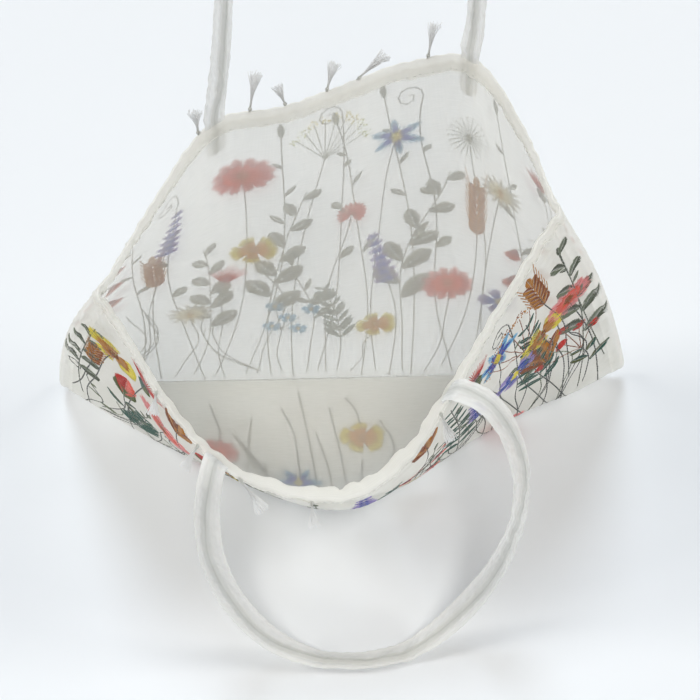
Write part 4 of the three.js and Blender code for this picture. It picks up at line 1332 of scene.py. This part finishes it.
def tassel(name, panel, across, stem, tuft, lean, seed):
    """A bundle of thread tubes, bound along the stem, spreading at the end, and knotted at its foot."""
    chance = np.random.default_rng(seed)
    way = np.array(lean) / np.linalg.norm(lean)
    side = np.cross(way, (0, 0, 1))
    side /= np.linalg.norm(side)
    other = np.cross(way, side)
    foot = panel.at(across, FLAT_HEIGHT) + way * TASSEL_GAP
    full = stem + tuft
    flare = smooth(TASSEL_FLARE[0] * stem / full, TASSEL_FLARE[1], THREAD_STOPS)
    lines = []
    spins = chance.uniform(0, 2 * math.pi, TASSEL_THREADS)
    for spin in spins:
        bundle = math.sqrt(chance.uniform())
        reach = full * chance.uniform(*TASSEL_REACH)
        radius = bundle * (TASSEL_STEM + (TASSEL_TUFT - TASSEL_STEM) * flare)
        angle = spin + TASSEL_TWIST * (1 - flare) * THREAD_STOPS
        stray = chance.normal(0, TASSEL_STRAY, 2) * flare[:, None] ** 2
        flat = np.stack([radius * np.cos(angle), radius * np.sin(angle)], axis=-1) + stray
        line = foot + way * (THREAD_STOPS * reach)[:, None] + flat[:, :1] * side + flat[:, 1:] * other
        line[:, 2] -= TASSEL_DROOP * full * flare ** 2
        lines.append(line)
    tubes = thread_tubes(lines, side, other, TASSEL_THREAD, spins)
    around = np.arange(THREAD_SIDES) * THREAD_SIDE
    cut = np.stack(np.meshgrid(THREAD_STOPS * full, around, indexing="ij"), axis=-1)
    cut = np.broadcast_to(cut, (len(tubes), *cut.shape))
    turn = np.linspace(0, 2 * math.pi * KNOT_TURNS, KNOT_STEPS)
    rise = np.linspace(-KNOT_END, KNOT_END, KNOT_STEPS)
    swell = TASSEL_KNOT * np.sqrt(1 - rise ** 2)
    coil = foot + way * (TASSEL_KNOT * rise)[:, None]
    coil = coil + side * (swell * np.cos(turn))[:, None] + other * (swell * np.sin(turn))[:, None]
    wound = thread_tubes([coil], way, side, 2 * TASSEL_THREAD, [0.0])
    points = np.concatenate([tubes.reshape(-1, 3), wound.reshape(-1, 3)])
    knot_faces = tube_faces(1, KNOT_STEPS) + tubes.size // 3
    faces = np.concatenate([tube_faces(len(tubes), len(THREAD_STOPS)), knot_faces])
    cut = np.concatenate([cut.reshape(-1, 2), np.zeros((KNOT_STEPS * THREAD_SIDES, 2))])
    return add_piece(name, points, faces, cotton_finish, cut)


def cotton_thread(name):
    """Twisted white cotton, matt, with painted shade greying the bound stem, and ends that let light
    through.
    """
    finish = Finish(name)
    run, side = finish.cut()
    twist = (run * PLY_TURN[0] + side * PLY_TURN[1]).wave()
    # Painted shade on the bound stem, fading to white along the run
    colour = finish.mix(run.step(*STEM_SHADE_TO_WHITE), (*TASSEL_STEM_PAINTED_SHADE, 1), (*TASSEL_WHITE, 1))
    surface = {
        "Base Color": colour,
        "Roughness": 0.7 + twist * 0.15,
        "Normal": finish.bump(twist, strength=0.4, distance=0.0001),
        "Alpha": 0.88 - run.step(*TUFT_THIN) * 0.42,
        "Sheen Weight": 0.4,
    }
    return finish.sheer(surface, glow=0.65, colour=(*TASSEL_WHITE, 1))


cotton_finish = cotton_thread("tassel_cotton")
for name, panel, rows in (("back", back, BACK_TASSELS), ("front", front, FRONT_TASSELS)):
    for number, row in enumerate(rows, 1):
        label = f"{name}_{number}"
        brush = tassel("brush_" + label, panel, *row, TASSEL_SEEDS[name] + 10 * number)
        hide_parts("tassel_" + label)

# Table, light and camera
# A plain pale table top that sweeps up into a low wall all round, in daylight from windows on every side;
# the camera looks down into the open mouth from the front.
TABLE_COLOUR = (0.80, 0.825, 0.865)
TABLE_CLOUD = (0.82, 0.84, 0.87)
SWEEP_SIDES = 64
# Radius and height along the table top, from its middle to the top of the wall
SWEEP = np.array([(0.0, 0.0), (1.9, 0.0), (2.2, 0.04), (2.42, 0.18), (2.5, 0.45), (2.5, 0.9)])
# Way to each window, its strength and colour
WINDOWS = {
    "back": ((-0.1, 0.32, 1.0), 1.1, (0.81, 0.905, 1.0)),
    "left": ((-1.0, 0.0, 1.0), 1.0, (1.0, 0.972, 0.915)),
    "right": ((1.0, 0.0, 1.0), 0.78, (1.0, 0.972, 0.915)),
    "front": ((0.0, -0.75, 1.0), 1.22, (1.0, 0.972, 0.915)),
}
WINDOW_SPREAD = math.radians(18)
ROOM_COLOUR = (1.0, 0.96, 0.88)
ROOM_LIGHT = 0.05
AIM = Vector((0.00442, 0.00394, 0.080))
CAMERA_DISTANCE = 1.0097
CAMERA_ELEVATION = math.radians(49.99)
CAMERA_AZIMUTH = math.radians(-1.598)
CAMERA_LENS = 77.195
CAMERA_SENSOR = 36.0

table_finish = Finish("table_top")
mottle = table_finish.node("TexNoise", None, {"Scale": 3.0, "Detail": 2.0})
pale = table_finish.mix(mottle, (*TABLE_COLOUR, 1), (*TABLE_CLOUD, 1))
table_pale = table_finish.solid({"Base Color": pale, "Roughness": 0.6})
around = np.linspace(0, 2 * math.pi, SWEEP_SIDES, endpoint=False)
radius, height = SWEEP[:, :1], SWEEP[:, 1:]
sweep = np.stack(np.broadcast_arrays(radius * np.cos(around), radius * np.sin(around), height), axis=-1)
sweep_faces = grid_faces(*sweep.shape[:2], True)[:, ::-1]
table_top = add_mesh("table_top", sweep, sweep_faces, table_pale)

for name, (way, strength, tint) in WINDOWS.items():
    daylight = bpy.data.lights.new("window_" + name, "SUN")
    daylight.energy = strength
    daylight.angle = WINDOW_SPREAD
    daylight.color = tint
    window = bpy.data.objects.new("window_" + name, daylight)
    window.rotation_euler = (-Vector(way)).to_track_quat("-Z", "Y").to_euler()
    bpy.context.scene.collection.objects.link(window)

room = bpy.data.worlds.new("white_room")
room.use_nodes = True
room.node_tree.nodes["Background"].inputs["Color"].default_value = (*ROOM_COLOUR, 1)
room.node_tree.nodes["Background"].inputs["Strength"].default_value = ROOM_LIGHT
bpy.context.scene.world = room
bpy.context.scene.view_settings.view_transform = "Standard"

lens = bpy.data.cameras.new("camera")
lens.lens = CAMERA_LENS
lens.sensor_width = CAMERA_SENSOR
camera = bpy.data.objects.new("camera", lens)
camera_way = Vector((
    math.sin(CAMERA_AZIMUTH) * math.cos(CAMERA_ELEVATION),
    -math.cos(CAMERA_AZIMUTH) * math.cos(CAMERA_ELEVATION),
    math.sin(CAMERA_ELEVATION),
))
camera.location = AIM + camera_way * CAMERA_DISTANCE
camera.rotation_euler = (-camera_way).to_track_quat("-Z", "Y").to_euler()
bpy.context.scene.collection.objects.link(camera)
bpy.context.scene.camera = camera
